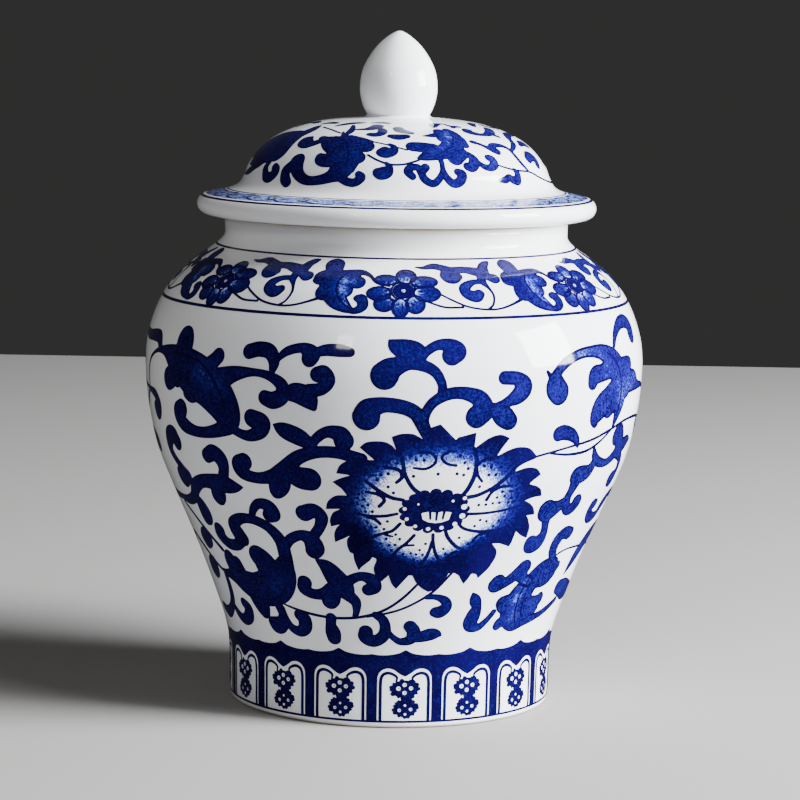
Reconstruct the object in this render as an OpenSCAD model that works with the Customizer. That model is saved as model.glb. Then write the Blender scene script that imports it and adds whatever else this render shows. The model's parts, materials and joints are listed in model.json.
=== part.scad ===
// Ginger jar: a round-bellied porcelain jar with a foot ring and a short neck,
// and a domed lid with a rolled brim, a locating collar and a bud finial.
// Millimetres, +Z up, origin at the centre of the plane the foot ring stands on.

/* [Size] */
// Greatest radius of the belly
belly_r = 79.5; // [76:0.5:83]
// Height of the whole jar, from the foot ring to the tip of the finial
total_h = 214; // [196:1:232]

/* [Jar] */
// Outer radius of the foot wall
foot_r = 52; // [48:0.5:56]
// Inner radius of the foot ring, where the recess under the jar begins
foot_ring_in_r = 44.5; // [40:0.5:46]
// Depth of the recess inside the foot ring
foot_recess = 6; // [4.5:0.5:7]
// Thickness of the jar's floor above the recess
floor_t = 6; // [4.5:0.5:8]
// Thickness of the wall at the belly
wall_t = 4.8; // [4:0.2:6]
// Height of the widest part of the belly
belly_h = 106; // [100:1:110]
// Outer radius of the neck
neck_r = 54.8; // [53:0.2:57]
// Inner radius of the neck
mouth_r = 49.2; // [47.5:0.2:51]
// Height of the mouth rim, which the lid rests on
mouth_h = 155.2; // [153:0.2:157]

/* [Lid] */
// Gap left between the mouth rim and the lid, as the two glazes touch
seat_gap = 0.2; // [0.1:0.1:0.4]
// Greatest radius of the lid's brim
brim_r = 63.7; // [60:0.1:68]
// Thickness of the rolled edge of the brim
brim_t = 6.6; // [5:0.2:8]
// Outer radius of the foot of the dome, where it meets the brim
dome_r = 49; // [46:0.5:52]
// Height of the top of the dome
dome_h = 187; // [184:0.2:190]
// Thickness of the dome
dome_t = 4.6; // [4:0.2:6]
// Outer radius of the locating collar under the lid
collar_r = 47.4; // [45:0.2:48.4]
// Thickness of the collar
collar_t = 3.6; // [3:0.2:5]
// How far the collar reaches down into the neck
collar_depth = 11.5; // [8:0.5:16]

/* [Finial] */
// Greatest radius of the bud
finial_r = 12.4; // [10:0.2:15]
// Radius of the bud where it is luted to the dome
finial_base_r = 9.7; // [8:0.1:10.4]

/* [Hidden] */
$fn = 96;

porcelain_white = [0.93, 0.95, 0.98];
painted_blue = [0.36, 0.45, 0.70];

// Points between two knots of a smooth curve
curve_steps = 5;
// Points along a quarter of a rounded edge
round_steps = 6;
// Rounding of the foot ring's standing edges
foot_round = 1.6;
// Rounding of the mouth rim's edges
rim_round = 2.2;
// Rounding of the collar's lower edges
collar_round = 1.5;

brim_low = mouth_h + seat_gap;
brim_nose_z = brim_low + brim_t / 2;
floor_top = foot_recess + floor_t;
finial_low = dome_h - 0.1;
finial_h = total_h - finial_low;

// Outer curve of the jar, from the foot wall up to the neck: [radius, height]
jar_outer = [
    [foot_r - 0.3, 4], [foot_r, 17], [foot_r + 1.2, 24.5], [foot_r + 4.9, 35.5],
    [foot_r + 10.4, 50], [foot_r + 17.3, 66], [foot_r + 23.2, 80.5],
    [belly_r - 1.2, 94], [belly_r, belly_h], [belly_r - 0.4, 116],
    [belly_r - 3.6, 126.5], [belly_r - 8.7, 135], [belly_r - 15.4, 141.3],
    [neck_r + 2.9, 145.8], [neck_r + 0.2, 148.6], [neck_r - 0.1, 151]];

// Inner curve of the jar, from the neck down to the floor
jar_inner = [
    [mouth_r, 149], [mouth_r + 1.4, 146], [mouth_r + 7, 140.6],
    [belly_r - wall_t - 9.1, 132.6], [belly_r - wall_t - 3.6, 123.5],
    [belly_r - wall_t - 0.2, 112], [belly_r - wall_t, belly_h - 3],
    [belly_r - wall_t - 2.8, 88], [belly_r - wall_t - 9.2, 70],
    [foot_r + 5.8, 52], [foot_r - 0.8, 34], [foot_r - 7, 21],
    [foot_r - 16, floor_top + 2], [foot_r - 26, floor_top]];

// Upper surface of the lid, from the rolled edge to the middle of the dome
lid_outer = [
    [brim_r - 4.6, brim_low + brim_t + 0.3], [dome_r + 4.6, 163.6],
    [dome_r + 1.3, 165.4], [dome_r - 0.5, 168.6], [dome_r - 1.7, 171.6],
    [dome_r - 4.7, 175.8], [dome_r - 9.4, 179.8], [dome_r - 16.2, 183.1],
    [dome_r - 25, dome_h - 1.6], [dome_r - 37, dome_h - 0.3], [0, dome_h]];

// Under surface of the lid, from the middle of the dome to the collar
lid_inner = [
    [0, dome_h - dome_t], [dome_r - 32, dome_h - dome_t - 0.9],
    [dome_r - 20, dome_h - dome_t - 3.4], [dome_r - 11.4, dome_h - dome_t - 7.6],
    [dome_r - 6.8, 170], [dome_r - 5.2, 164], [dome_r - 5.2, 159]];

// Outline of the bud, from its base to its tip: [radius, height above the base]
bud = [
    [finial_base_r, 0], [finial_r - 1.3, 2.6], [finial_r - 0.3, 6],
    [finial_r, 9.5], [finial_r - 0.6, 14], [finial_r - 2.3, 18],
    [finial_r - 5.2, 22.2], [finial_r - 8.6, finial_h - 1.8],
    [1.2, finial_h - 0.25], [0, finial_h]];

// Value at t of the smooth curve that runs from b to c, between a and d
function blend(a, b, c, d, t) =
    0.5 * (2 * b + (c - a) * t + (2 * a - 5 * b + 4 * c - d) * t * t
    + (3 * b - 3 * c + d - a) * t * t * t);

// Smooth curve through every knot of a list
function smooth(k) = [
    for (i = [0 : len(k) - 2], s = [0 : curve_steps - 1])
        blend(k[max(i - 1, 0)], k[i], k[i + 1], k[min(i + 2, len(k) - 1)],
            s / curve_steps),
    k[len(k) - 1]];

// Points of a rounded edge about a centre, from one angle to another
function rounded(centre, r, from, to, steps = round_steps) = [
    for (i = [0 : steps])
        let (a = from + (to - from) * i / steps)
        centre + r * [cos(a), sin(a)]];

module turned(outline) {
    rotate_extrude() polygon(outline);
}

module jar_body() {
    color(painted_blue)
    turned(concat(
        [[0, foot_recess]],
        [[foot_ring_in_r - 1, foot_recess]],
        rounded([foot_ring_in_r + foot_round, foot_round], foot_round, 180, 270),
        rounded([foot_r - 0.5 - foot_round, foot_round], foot_round, 270, 360),
        smooth(jar_outer),
        rounded([neck_r - rim_round, mouth_h - rim_round], rim_round, 0, 90),
        rounded([mouth_r + rim_round, mouth_h - rim_round], rim_round, 90, 180),
        smooth(jar_inner),
        [[0, floor_top]]));
}

module lid_dome() {
    color(painted_blue)
    turned(concat(
        smooth(lid_inner),
        [[dome_r - 5.2, brim_low]],
        [[brim_r - 4.4, brim_low]],
        rounded([brim_r - brim_t / 2, brim_nose_z], brim_t / 2, -80, 80, 12),
        smooth(lid_outer)));
}

module lid_collar() {
    top = brim_low;
    low = brim_low - collar_depth;
    inner = collar_r - collar_t;
    color(porcelain_white)
    turned(concat(
        [[inner, top]],
        rounded([inner + collar_round, low + collar_round], collar_round, 180, 270),
        rounded([collar_r - collar_round, low + collar_round], collar_round, 270, 360),
        [[collar_r, top]]));
}

module finial() {
    color(porcelain_white)
    translate([0, 0, finial_low])
    turned(concat([[0, 0]], smooth(bud)));
}

jar_body();
lid_dome();
lid_collar();
finial();
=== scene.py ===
"""Looks of the ginger jar: glazed porcelain with a cobalt painting under the glaze.

Everything is in metres in the frame's own axes. The painting is laid out on a map of each
turned surface: "turn" is degrees around the axis (0 faces the viewer, positive to the right)
and "climb" is degrees up the outline, with one degree the same length both ways at every
height, so a round motif stays round. A brush stroke is a list of (turn, climb, half width).
"""

import json
import math
import random

import bpy
import numpy as np
from mathutils import Matrix, Vector
from mathutils.geometry import delaunay_2d_cdt

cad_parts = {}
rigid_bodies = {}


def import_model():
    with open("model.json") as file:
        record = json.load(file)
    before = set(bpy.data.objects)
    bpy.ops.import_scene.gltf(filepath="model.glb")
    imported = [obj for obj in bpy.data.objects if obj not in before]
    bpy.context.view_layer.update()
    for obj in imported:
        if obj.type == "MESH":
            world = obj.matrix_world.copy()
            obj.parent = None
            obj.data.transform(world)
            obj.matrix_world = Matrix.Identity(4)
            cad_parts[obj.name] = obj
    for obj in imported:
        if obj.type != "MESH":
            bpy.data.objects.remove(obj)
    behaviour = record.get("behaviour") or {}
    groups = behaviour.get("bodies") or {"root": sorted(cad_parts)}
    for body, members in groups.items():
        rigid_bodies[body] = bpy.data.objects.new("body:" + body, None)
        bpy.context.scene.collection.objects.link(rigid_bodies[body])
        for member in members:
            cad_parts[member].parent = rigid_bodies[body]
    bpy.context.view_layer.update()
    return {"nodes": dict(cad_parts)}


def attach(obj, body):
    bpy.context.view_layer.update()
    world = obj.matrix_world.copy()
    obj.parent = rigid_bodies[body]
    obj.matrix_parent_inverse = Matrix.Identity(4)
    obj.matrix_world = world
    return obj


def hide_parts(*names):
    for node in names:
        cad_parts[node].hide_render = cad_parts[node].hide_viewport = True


for thing in list(bpy.data.objects):
    bpy.data.objects.remove(thing)
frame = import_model()

MM = 0.001
SEGMENTS = 256            # facets around a turned surface
OUTLINE_STEP = 0.9 * MM   # longest step along a turned outline
CORNER_TURN = 26.0        # outline corners sharper than this stay sharp, in degrees
GLAZE_INSET = 0.07 * MM   # the white surface lies this far inside the CAD outline
INK_SKIN = (0.10 * MM, 0.02 * MM)    # bottom and top of the painted skin, as insets
LOTUS_SKIN = (0.10 * MM, 0.015 * MM)  # the same for petals that carry lines
LINE_SKIN = (0.05 * MM, 0.005 * MM)   # the same for fine lines over the paint
SAME_POINT = 0.02 * MM    # CAD vertices closer than this are one point of an outline
ON_AXIS = 0.002 * MM      # outline points closer to the axis than this lie on it
SHARP_EDGE = 40.0         # edges of thin bands turned more than this are sharp, in degrees

# Widths and distances on the map, in degrees
CELL = 0.2                # grid of the shape fields
FAR = 99.0                # distance where no shape is near
REACH = 1.5               # how far beyond a shape its distance is kept
THINNEST = 0.05           # least half width of a stroke
FINE = 0.5                # strokes up to this half width are not fattened
FINE_TO_BROAD = 0.6       # and those wider by this are fattened in full
SMOOTH_STEPS = 7          # points between two control points of a stroke
CHORD_ERROR = 0.012       # how far a simplified edge may stray
INNER_STEP = 1.0          # spacing of the points inside a painted shape
INNER_ROW = 0.87          # spacing of their rows, as a share of INNER_STEP
INNER_JITTER = 0.08       # how uneven they are
EDGE_GAP = 0.3            # how far they keep from an edge
LONGEST_CHORD = 1.4       # longest simplified edge, as a share of INNER_STEP
MOST_MERGED = 9           # most grid edges that become one simplified edge
LEAST_AREA = 0.02         # smaller shapes are dropped
RIM = 0.56                # width of the dark outline of a washed shape


# ---------------------------------------------------------------- turned outlines

def outline_points(node):
    """The outline (radius, height) that a turned CAD node was made from, in order."""
    mesh = frame["nodes"][node].data
    co = np.array([v.co for v in mesh.vertices], float)
    flat = np.stack([np.hypot(co[:, 0], co[:, 1]), co[:, 2]], 1)
    spots, cells, ids = [], {}, []
    for p in flat:
        key = (int(p[0] // SAME_POINT), int(p[1] // SAME_POINT))
        around = [s for i in (-1, 0, 1) for j in (-1, 0, 1)
                  for s in cells.get((key[0] + i, key[1] + j), ())]
        same = [s for s in around if np.hypot(*(spots[s] - p)) < SAME_POINT]
        if not same:
            same = [len(spots)]
            spots.append(p)
            cells.setdefault(key, []).append(same[0])
        ids.append(same[0])
    links = {i: set() for i in range(len(spots))}
    for e in mesh.edges:
        a, b = (ids[v] for v in e.vertices)
        if a != b:
            links[a].add(b)
            links[b].add(a)
    ends = [i for i in links if len(links[i]) == 1]
    walk = [min(ends or links, key=lambda i: spots[i][1])]
    while True:
        onward = [i for i in links[walk[-1]] if i not in walk[-2:] and i != walk[0]]
        if not onward:
            break
        walk.append(onward[0])
    return np.array([spots[i] for i in walk]), not ends


def refine(points, closed):
    """The same outline with a smooth curve through its gentle corners."""
    n = len(points)
    step = np.roll(points, -1, 0) - points
    angle = np.degrees(np.arctan2(step[:, 1], step[:, 0]))
    turn = np.abs((angle - np.roll(angle, 1) + 180) % 360 - 180)
    soft = turn < CORNER_TURN
    if not closed:
        soft[0] = soft[-1] = False
    out = []
    for i in range(n if closed else n - 1):
        b, c = points[i], points[(i + 1) % n]
        a = points[i - 1] if soft[i] else 2 * b - c
        d = points[(i + 2) % n] if soft[(i + 1) % n] else 2 * c - b
        count = max(1, math.ceil(np.hypot(*(c - b)) / OUTLINE_STEP))
        size = np.hypot(*(c - b))
        ma = (c - a) * size / (size + np.hypot(*(b - a)))
        mb = (d - b) * size / (size + np.hypot(*(d - c)))
        for k in range(count):
            t = k / count
            h = (2 * t**3 - 3 * t**2 + 1, t**3 - 2 * t**2 + t, 3 * t**2 - 2 * t**3, t**3 - t**2)
            out.append(h[0] * b + h[1] * ma + h[2] * c + h[3] * mb)
    if not closed:
        out.append(points[-1])
    return np.array(out)


def normals_of(points, closed):
    """Unit normals of an outline that runs with its solid on the left."""
    if closed:
        run = np.roll(points, -1, 0) - np.roll(points, 1, 0)
    else:
        run = np.gradient(points, axis=0)
    run /= np.maximum(np.hypot(run[:, 0], run[:, 1]), 1e-12)[:, None]
    return np.stack([run[:, 1], -run[:, 0]], 1)


# Small corrections to the climb of each body's painting: the climbs, and the shift at each
NUDGE = {"jar": ([0, 28, 32, 100, 119], [-0.35, -0.35, -0.3, -0.25, 0]), "lid": ([0, 90], [0, 0])}


class Turned:
    """A turned CAD node: its smooth outline, and its painted side laid out by climb."""

    def __init__(self, node, start=None, body="jar"):
        self.node = node
        self.body = body
        points, self.closed = outline_points(node)
        if area_of(points) < 0:
            points = points[::-1]
        self.points = refine(points, self.closed)
        self.normals = normals_of(self.points, self.closed)
        if start is None:
            return
        first = int(np.argmin(np.hypot(*(self.points - np.array(start)).T)))
        side, normal = self.points[first:], self.normals[first:]
        run = np.hypot(*np.diff(side, axis=0).T)
        middle = 0.5 * (side[1:, 0] + side[:-1, 0])
        self.side, self.side_normal = side, normal
        self.climb = np.degrees(np.append(0, np.cumsum(run / np.maximum(middle, 1e-5))))

    def place(self, turn, climb, inset):
        """Points and normals on the painted side."""
        turn = np.radians(turn)
        climb = climb + np.interp(climb, *NUDGE[self.body])
        r, z = (np.interp(climb, self.climb, self.side[:, k]) for k in (0, 1))
        nr, nz = (np.interp(climb, self.climb, self.side_normal[:, k]) for k in (0, 1))
        size = np.maximum(np.hypot(nr, nz), 1e-9)
        nr, nz = nr / size, nz / size
        spot = r - inset * nr
        at = np.stack([spot * np.sin(turn), -spot * np.cos(turn), z - inset * nz], 1)
        return at, np.stack([nr * np.sin(turn), -nr * np.cos(turn), nz], 1)


def turned_mesh(name, points, closed):
    """A closed mesh of an outline turned about the axis."""
    angle = np.radians(np.arange(SEGMENTS) * 360 / SEGMENTS)
    verts, rings = [], []
    for r, z in points:
        if r < ON_AXIS:
            rings.append([len(verts)])
            verts.append((0, 0, z))
        else:
            rings.append(list(range(len(verts), len(verts) + SEGMENTS)))
            verts += [(r * math.sin(a), -r * math.cos(a), z) for a in angle]
    faces = []
    for a, b in zip(rings, rings[1:] + rings[:1] if closed else rings[1:]):
        for k in range(SEGMENTS):
            j = (k + 1) % SEGMENTS
            quad = [a[k % len(a)], a[j % len(a)], b[j % len(b)], b[k % len(b)]]
            faces.append(list(dict.fromkeys(quad)))
    mesh = bpy.data.meshes.new(name)
    mesh.from_pydata(verts, [], faces)
    mesh.validate()
    mesh.shade_smooth()
    piece = bpy.data.objects.new(name, mesh)
    bpy.context.scene.collection.objects.link(piece)
    return piece


# ---------------------------------------------------------------- shapes on the map

def smooth(points, steps=SMOOTH_STEPS):
    """A smooth curve through a list of points of any width."""
    p = np.array(points, float)
    if len(p) < 3:
        return p
    p = np.vstack([2 * p[0] - p[1], p, 2 * p[-1] - p[-2]])
    out = []
    for a, b, c, d in zip(p, p[1:], p[2:], p[3:]):
        for t in np.arange(steps) / steps:
            out.append(0.5 * (2 * b + (c - a) * t + (2 * a - 5 * b + 4 * c - d) * t * t
                              + (3 * b - 3 * c + d - a) * t**3))
    out.append(p[-2])
    return np.array(out)


def ellipse(x, y, rx, ry, tilt=0.0, count=40):
    """Outline of an ellipse on the map."""
    c, s = math.cos(math.radians(tilt)), math.sin(math.radians(tilt))
    out = []
    for k in range(count):
        u, v = rx * math.cos(math.tau * k / count), ry * math.sin(math.tau * k / count)
        out.append((x + u * c - v * s, y + u * s + v * c))
    return out


class Field:
    """Distance to a painted shape over a window of the map, negative inside it."""

    def __init__(self, left, right, low, high):
        self.window = (left, right, low, high)
        self.x = np.linspace(left, right, round((right - left) / CELL) + 1)
        self.y = np.linspace(low, high, round((high - low) / CELL) + 1)
        self.d = np.full((len(self.y), len(self.x)), FAR)

    def patch(self, low, high):
        """The part of the grid between two corners, and its turns and climbs."""
        i = np.searchsorted(self.x, [low[0], high[0]])
        j = np.searchsorted(self.y, [low[1], high[1]])
        part = (slice(j[0], j[1]), slice(i[0], i[1]))
        return part, self.x[None, part[1]], self.y[part[0], None]

    def stroke(self, points, sign=1):
        """Adds a brush stroke, or with sign -1 cuts it out."""
        p = smooth(points)
        p[:, 2] = np.maximum(p[:, 2], THINNEST)
        for a, b in zip(p, p[1:]):
            reach = max(a[2], b[2]) + REACH
            low, high = np.minimum(a, b)[:2] - reach, np.maximum(a, b)[:2] + reach
            part, x, y = self.patch(low, high)
            if x.size and y.size:
                run = b - a
                dx, dy = x - a[0], y - a[1]
                t = np.clip((dx * run[0] + dy * run[1]) / max(run[0]**2 + run[1]**2, 1e-9), 0, 1)
                d = np.hypot(dx - t * run[0], dy - t * run[1]) - (a[2] + t * run[2])
                self.mix(part, d, sign)
        return self

    def outline_distance(self, outline):
        """Distance to a closed outline near it, negative inside."""
        p = np.array(outline, float)
        part, x, y = self.patch(p.min(0) - REACH, p.max(0) + REACH)
        if not (x.size and y.size):
            return part, None
        near = np.full((y.size, x.size), FAR)
        inside = np.zeros((y.size, x.size), bool)
        for a, b in zip(p, np.roll(p, -1, 0)):
            run = b - a
            dx, dy = x - a[0], y - a[1]
            t = np.clip((dx * run[0] + dy * run[1]) / max(run @ run, 1e-9), 0, 1)
            near = np.minimum(near, np.hypot(dx - t * run[0], dy - t * run[1]))
            if abs(run[1]) > 1e-9:
                cross = (a[1] > y) != (b[1] > y)
                inside ^= cross & (x < a[0] + run[0] * (y - a[1]) / run[1])
        return part, np.where(inside, -near, near)

    def fill(self, outline, sign=1):
        """Adds the inside of an outline, or with sign -1 cuts it out."""
        part, d = self.outline_distance(outline)
        if d is not None:
            self.mix(part, d, sign)
        return self

    def trace(self, outline, half_width):
        """Adds a line along an outline."""
        part, d = self.outline_distance(outline)
        if d is not None:
            self.mix(part, np.abs(d) - half_width, 1)
        return self

    def mix(self, part, d, sign):
        """Joins a shape to the field, or cuts it out."""
        self.d[part] = np.minimum(self.d[part], d) if sign > 0 else np.maximum(self.d[part], -d)

    def keep_off(self, other, gap):
        """Cuts away what is closer to another field's shape than the gap."""
        self.d = np.maximum(self.d, gap - other.d)
        return self

    def at(self, x, y):
        """Distance at points of the map."""
        i = np.clip((np.asarray(x) - self.x[0]) / CELL, 0, len(self.x) - 1.001)
        j = np.clip((np.asarray(y) - self.y[0]) / CELL, 0, len(self.y) - 1.001)
        a, b = i.astype(int), j.astype(int)
        u, v = i - a, j - b
        return ((self.d[b, a] * (1 - u) + self.d[b, a + 1] * u) * (1 - v)
                + (self.d[b + 1, a] * (1 - u) + self.d[b + 1, a + 1] * u) * v)


# Cell corners are numbered 1, 2, 4, 8 from the low left round to the high left, and sides
# 0 to 3 from the low one round to the left one. Each run has the shape on its left.
CELL_RUNS = {1: [(0, 3)], 2: [(1, 0)], 3: [(1, 3)], 4: [(2, 1)], 6: [(2, 0)], 7: [(2, 3)],
             8: [(3, 2)], 9: [(0, 2)], 11: [(1, 2)], 12: [(3, 1)], 13: [(0, 1)], 14: [(3, 0)]}
SADDLE_RUNS = {(5, True): [(0, 1), (2, 3)], (5, False): [(0, 3), (2, 1)],
               (10, True): [(3, 0), (1, 2)], (10, False): [(1, 0), (3, 2)]}


def edge_loops(field, level=0.0):
    """Closed loops of map points along the edge of a field's shape, grown by level."""
    d = np.pad(field.d - level, 1, constant_values=FAR)
    d[np.abs(d) < 1e-6] = 1e-6
    xs = np.concatenate([[field.x[0] - 1e-4], field.x, [field.x[-1] + 1e-4]])
    ys = np.concatenate([[field.y[0] - 1e-4], field.y, [field.y[-1] + 1e-4]])
    s = (d < 0).astype(int)
    case = s[:-1, :-1] + 2 * s[:-1, 1:] + 4 * s[1:, 1:] + 8 * s[1:, :-1]
    onward, spot = {}, {}
    for j, i in zip(*np.nonzero((case > 0) & (case < 15))):
        c = case[j, i]
        if c in CELL_RUNS:
            runs = CELL_RUNS[c]
        else:
            runs = SADDLE_RUNS[(c, bool(d[j:j + 2, i:i + 2].mean() < 0))]
        sides = ((j, i, 0), (j, i + 1, 1), (j + 1, i, 0), (j, i, 1))
        for a, b in runs:
            onward[sides[a]] = sides[b]
            for side in (sides[a], sides[b]):
                if side not in spot:
                    q, p, up = side
                    e0, e1 = d[q, p], (d[q + 1, p] if up else d[q, p + 1])
                    t = e0 / (e0 - e1)
                    if up:
                        spot[side] = (xs[p], ys[q] + t * (ys[q + 1] - ys[q]))
                    else:
                        spot[side] = (xs[p] + t * (xs[p + 1] - xs[p]), ys[q])
    loops = []
    while onward:
        start, side = onward.popitem()
        loop = [spot[start]]
        while side != start:
            loop.append(spot[side])
            side = onward.pop(side)
        loops.append(simplify(np.array(loop)))
    return [loop for loop in loops if len(loop) > 3]


def simplify(loop):
    """Drops the points that a closed loop doesn't need."""
    keep, i, n = [0], 0, len(loop)
    while i < n - 1:
        best = i + 1
        for j in range(i + 2, min(i + MOST_MERGED, n)):
            run = loop[j] - loop[i]
            size = math.hypot(*run)
            if size < 1e-9 or size > INNER_STEP * LONGEST_CHORD:
                break
            off = np.abs((loop[i + 1:j] - loop[i]) @ np.array([run[1], -run[0]])) / size
            if off.max() > CHORD_ERROR:
                break
            best = j
        keep.append(best)
        i = best
    out = loop[keep]
    if np.hypot(*(out[0] - out[-1])) < 1e-6:
        out = out[:-1]
    return out


def area_of(loop):
    """Area of a loop, negative when it runs clockwise."""
    nxt = np.roll(loop, -1, 0)
    return 0.5 * np.sum(loop[:, 0] * nxt[:, 1] - nxt[:, 0] * loop[:, 1])


def islands(loops):
    """Groups of loops: each outer loop with the holes that lie in it."""
    outer = sorted((l for l in loops if area_of(l) > LEAST_AREA), key=area_of)
    groups = [[l] for l in outer]
    for hole in (l for l in loops if area_of(l) < -LEAST_AREA):
        for g in groups:
            if area_of(g[0]) > -area_of(hole) and inside_of(hole[0], g[0]):
                g.append(hole)
                break
    return groups


def inside_of(p, loop):
    """Whether a point lies inside a loop."""
    a, b = loop, np.roll(loop, -1, 0)
    cross = (a[:, 1] > p[1]) != (b[:, 1] > p[1])
    with np.errstate(divide="ignore", invalid="ignore"):
        at = a[:, 0] + (b[:, 0] - a[:, 0]) * (p[1] - a[:, 1]) / (b[:, 1] - a[:, 1])
    return bool(np.sum(cross & (p[0] < at)) % 2)


# ---------------------------------------------------------------- painted skins

def skin_mesh(loops, rims, field, tone):
    """Triangles of a shape on the map: points, triangles and the tone at each corner.

    Outside the rims, where there are any, the tone is full.
    """
    points, polygons = [], []
    for loop in loops + rims:
        run = loop if area_of(loop) > 0 else loop[::-1]
        polygons.append(list(range(len(points), len(points) + len(run))))
        points += [tuple(p) for p in run]
    every = np.vstack(loops)
    low, high = every.min(0), every.max(0)
    rng = random.Random(3)
    rows = np.arange(low[1], high[1], INNER_STEP * INNER_ROW)
    for k, y in enumerate(rows):
        xs = np.arange(low[0] + (k % 2) * INNER_STEP / 2, high[0], INNER_STEP)
        depth = field.at(xs, np.full(len(xs), y))
        gap = RIM + EDGE_GAP if rims else EDGE_GAP
        points += [(x + rng.uniform(-INNER_JITTER, INNER_JITTER), y)
                   for x, e in zip(xs, depth) if e < -gap]
    made = delaunay_2d_cdt([Vector(p) for p in points], [], polygons, 0, 1e-6)
    flat = np.array([tuple(v) for v in made[0]])
    tris, washed = [], []
    for face, ids in zip(made[2], made[5]):
        if sum(i < len(loops) for i in ids) % 2:
            tris.append(face)
            washed.append(sum(i >= len(loops) for i in ids) % 2)
    tris = np.array(tris)
    shade = tone(flat[:, 0], flat[:, 1])[tris]
    if rims:
        shade = np.where(np.array(washed)[:, None] > 0, shade, 1.0)
    return flat, tris, shade


def painted(name, surface, parts, skin, turn=0.0, material=None):
    """A closed thin skin of paint on a turned surface, from the triangles of its parts."""
    verts, faces, tones, normals = [], [], [], []
    for flat, tris, shade in parts:
        used = np.unique(tris)
        index = {int(v): k for k, v in enumerate(used)}
        spot = flat[used]
        tri = [[index[int(v)] for v in t] for t in tris]
        base, n = len(verts), len(used)
        top, normal = surface.place(spot[:, 0] + turn, spot[:, 1], skin[1])
        low, _ = surface.place(spot[:, 0] + turn, spot[:, 1], skin[0])
        verts += [tuple(v) for v in top] + [tuple(v) for v in low]
        half = {}
        for t, s in zip(tri, shade):
            faces.append([base + v for v in t])
            tones += list(s)
            normals += [tuple(normal[v]) for v in t]
            for k in range(3):
                half[(t[k], t[(k + 1) % 3])] = (s[k], s[(k + 1) % 3])
        for t, s in zip(tri, shade):
            faces.append([base + n + v for v in t[::-1]])
            tones += list(s[::-1])
            normals += [tuple(-normal[v]) for v in t[::-1]]
        for (a, b), (sa, sb) in half.items():
            if (b, a) not in half:
                faces.append([base + b, base + a, base + n + a, base + n + b])
                tones += [sb, sa, sa, sb]
                run = top[b] - top[a]
                side = np.cross(run, normal[a])
                side = tuple(side / max(np.linalg.norm(side), 1e-12))
                normals += [side] * 4
    mesh = bpy.data.meshes.new(name)
    mesh.from_pydata(verts, [], faces)
    colour = mesh.color_attributes.new("tone", "FLOAT_COLOR", "CORNER")
    shades = np.repeat(np.array(tones, np.float32)[:, None], 4, 1)
    shades[:, 3] = 1
    colour.data.foreach_set("color", shades.ravel())
    mesh.shade_smooth()
    mesh.normals_split_custom_set([Vector(v) for v in normals])
    mesh.materials.append(material)
    piece = bpy.data.objects.new(name, mesh)
    bpy.context.scene.collection.objects.link(piece)
    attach(piece, surface.body)
    return piece


def even_tone(value=1.0):
    """The same tone everywhere."""
    return lambda x, y: np.full(len(x), value)


PAINTED_LIGHT_SIDE = 40.0         # turn from which a washed tone is lightest: painted light, lighter on the lit right side
FAINTEST = 0.15           # least tone of a wash


def wash_and_painted_light_tone(lights, base, painted_light=0.0):
    """Tone that grows lighter to the right, which is painted light, and near each (turn, climb,
    radius, strength), the wash's own lighter places.
    """
    def tone(x, y):
        # Painted light: the wash grows lighter toward the lit right side
        out = base - painted_light * np.clip(x / PAINTED_LIGHT_SIDE, 0, 1)
        for a, c, r, strength in lights:
            out -= strength * np.exp(-((x - a)**2 + (y - c)**2) / r**2)
        return np.clip(out, FAINTEST, 1)
    return tone


def field_of(window, strokes, swell=0.0):
    """Field of a list of strokes; swell fattens the broad ones and leaves the fine lines."""
    field = Field(*window)
    for s in strokes:
        field.stroke([(x, y, w + swell * min(max(w - FINE, 0) / FINE_TO_BROAD, 1)) for x, y, w in s])
    return field


def paint_group(name, surface, field, tone, material, copies, rims=False, skin=INK_SKIN):
    """One painted piece for all the shapes of a field, repeated around the axis."""
    inner = islands(edge_loops(field, -RIM)) if rims else []
    parts = []
    for group in islands(edge_loops(field)):
        mine = [l for g in inner if inside_of(g[0][0], group[0]) for l in g]
        parts.append(skin_mesh(group, mine, field, tone))
    for c, turn in enumerate(copies):
        painted(f"{name}_{c + 1:02d}", surface, parts, skin, turn, material)


def ring_line(name, surface, climb, half_width, material, tone=1.0):
    """A painted line right around a turned surface."""
    across = np.linspace(climb - half_width, climb + half_width, 3)
    around = np.arange(0, 360, 360 / SEGMENTS)
    flat = np.array([(a, c) for a in around for c in across])
    tris = []
    for k in range(SEGMENTS):
        for j in range(2):
            a, b = 3 * k + j, 3 * ((k + 1) % SEGMENTS) + j
            tris += [(a, b, b + 1), (a, b + 1, a + 1)]
    shade = np.full((len(tris), 3), tone)
    return painted(name, surface, [(flat, np.array(tris), shade)], INK_SKIN, 0, material)


# ---------------------------------------------------------------- strokes of the main scroll

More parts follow.
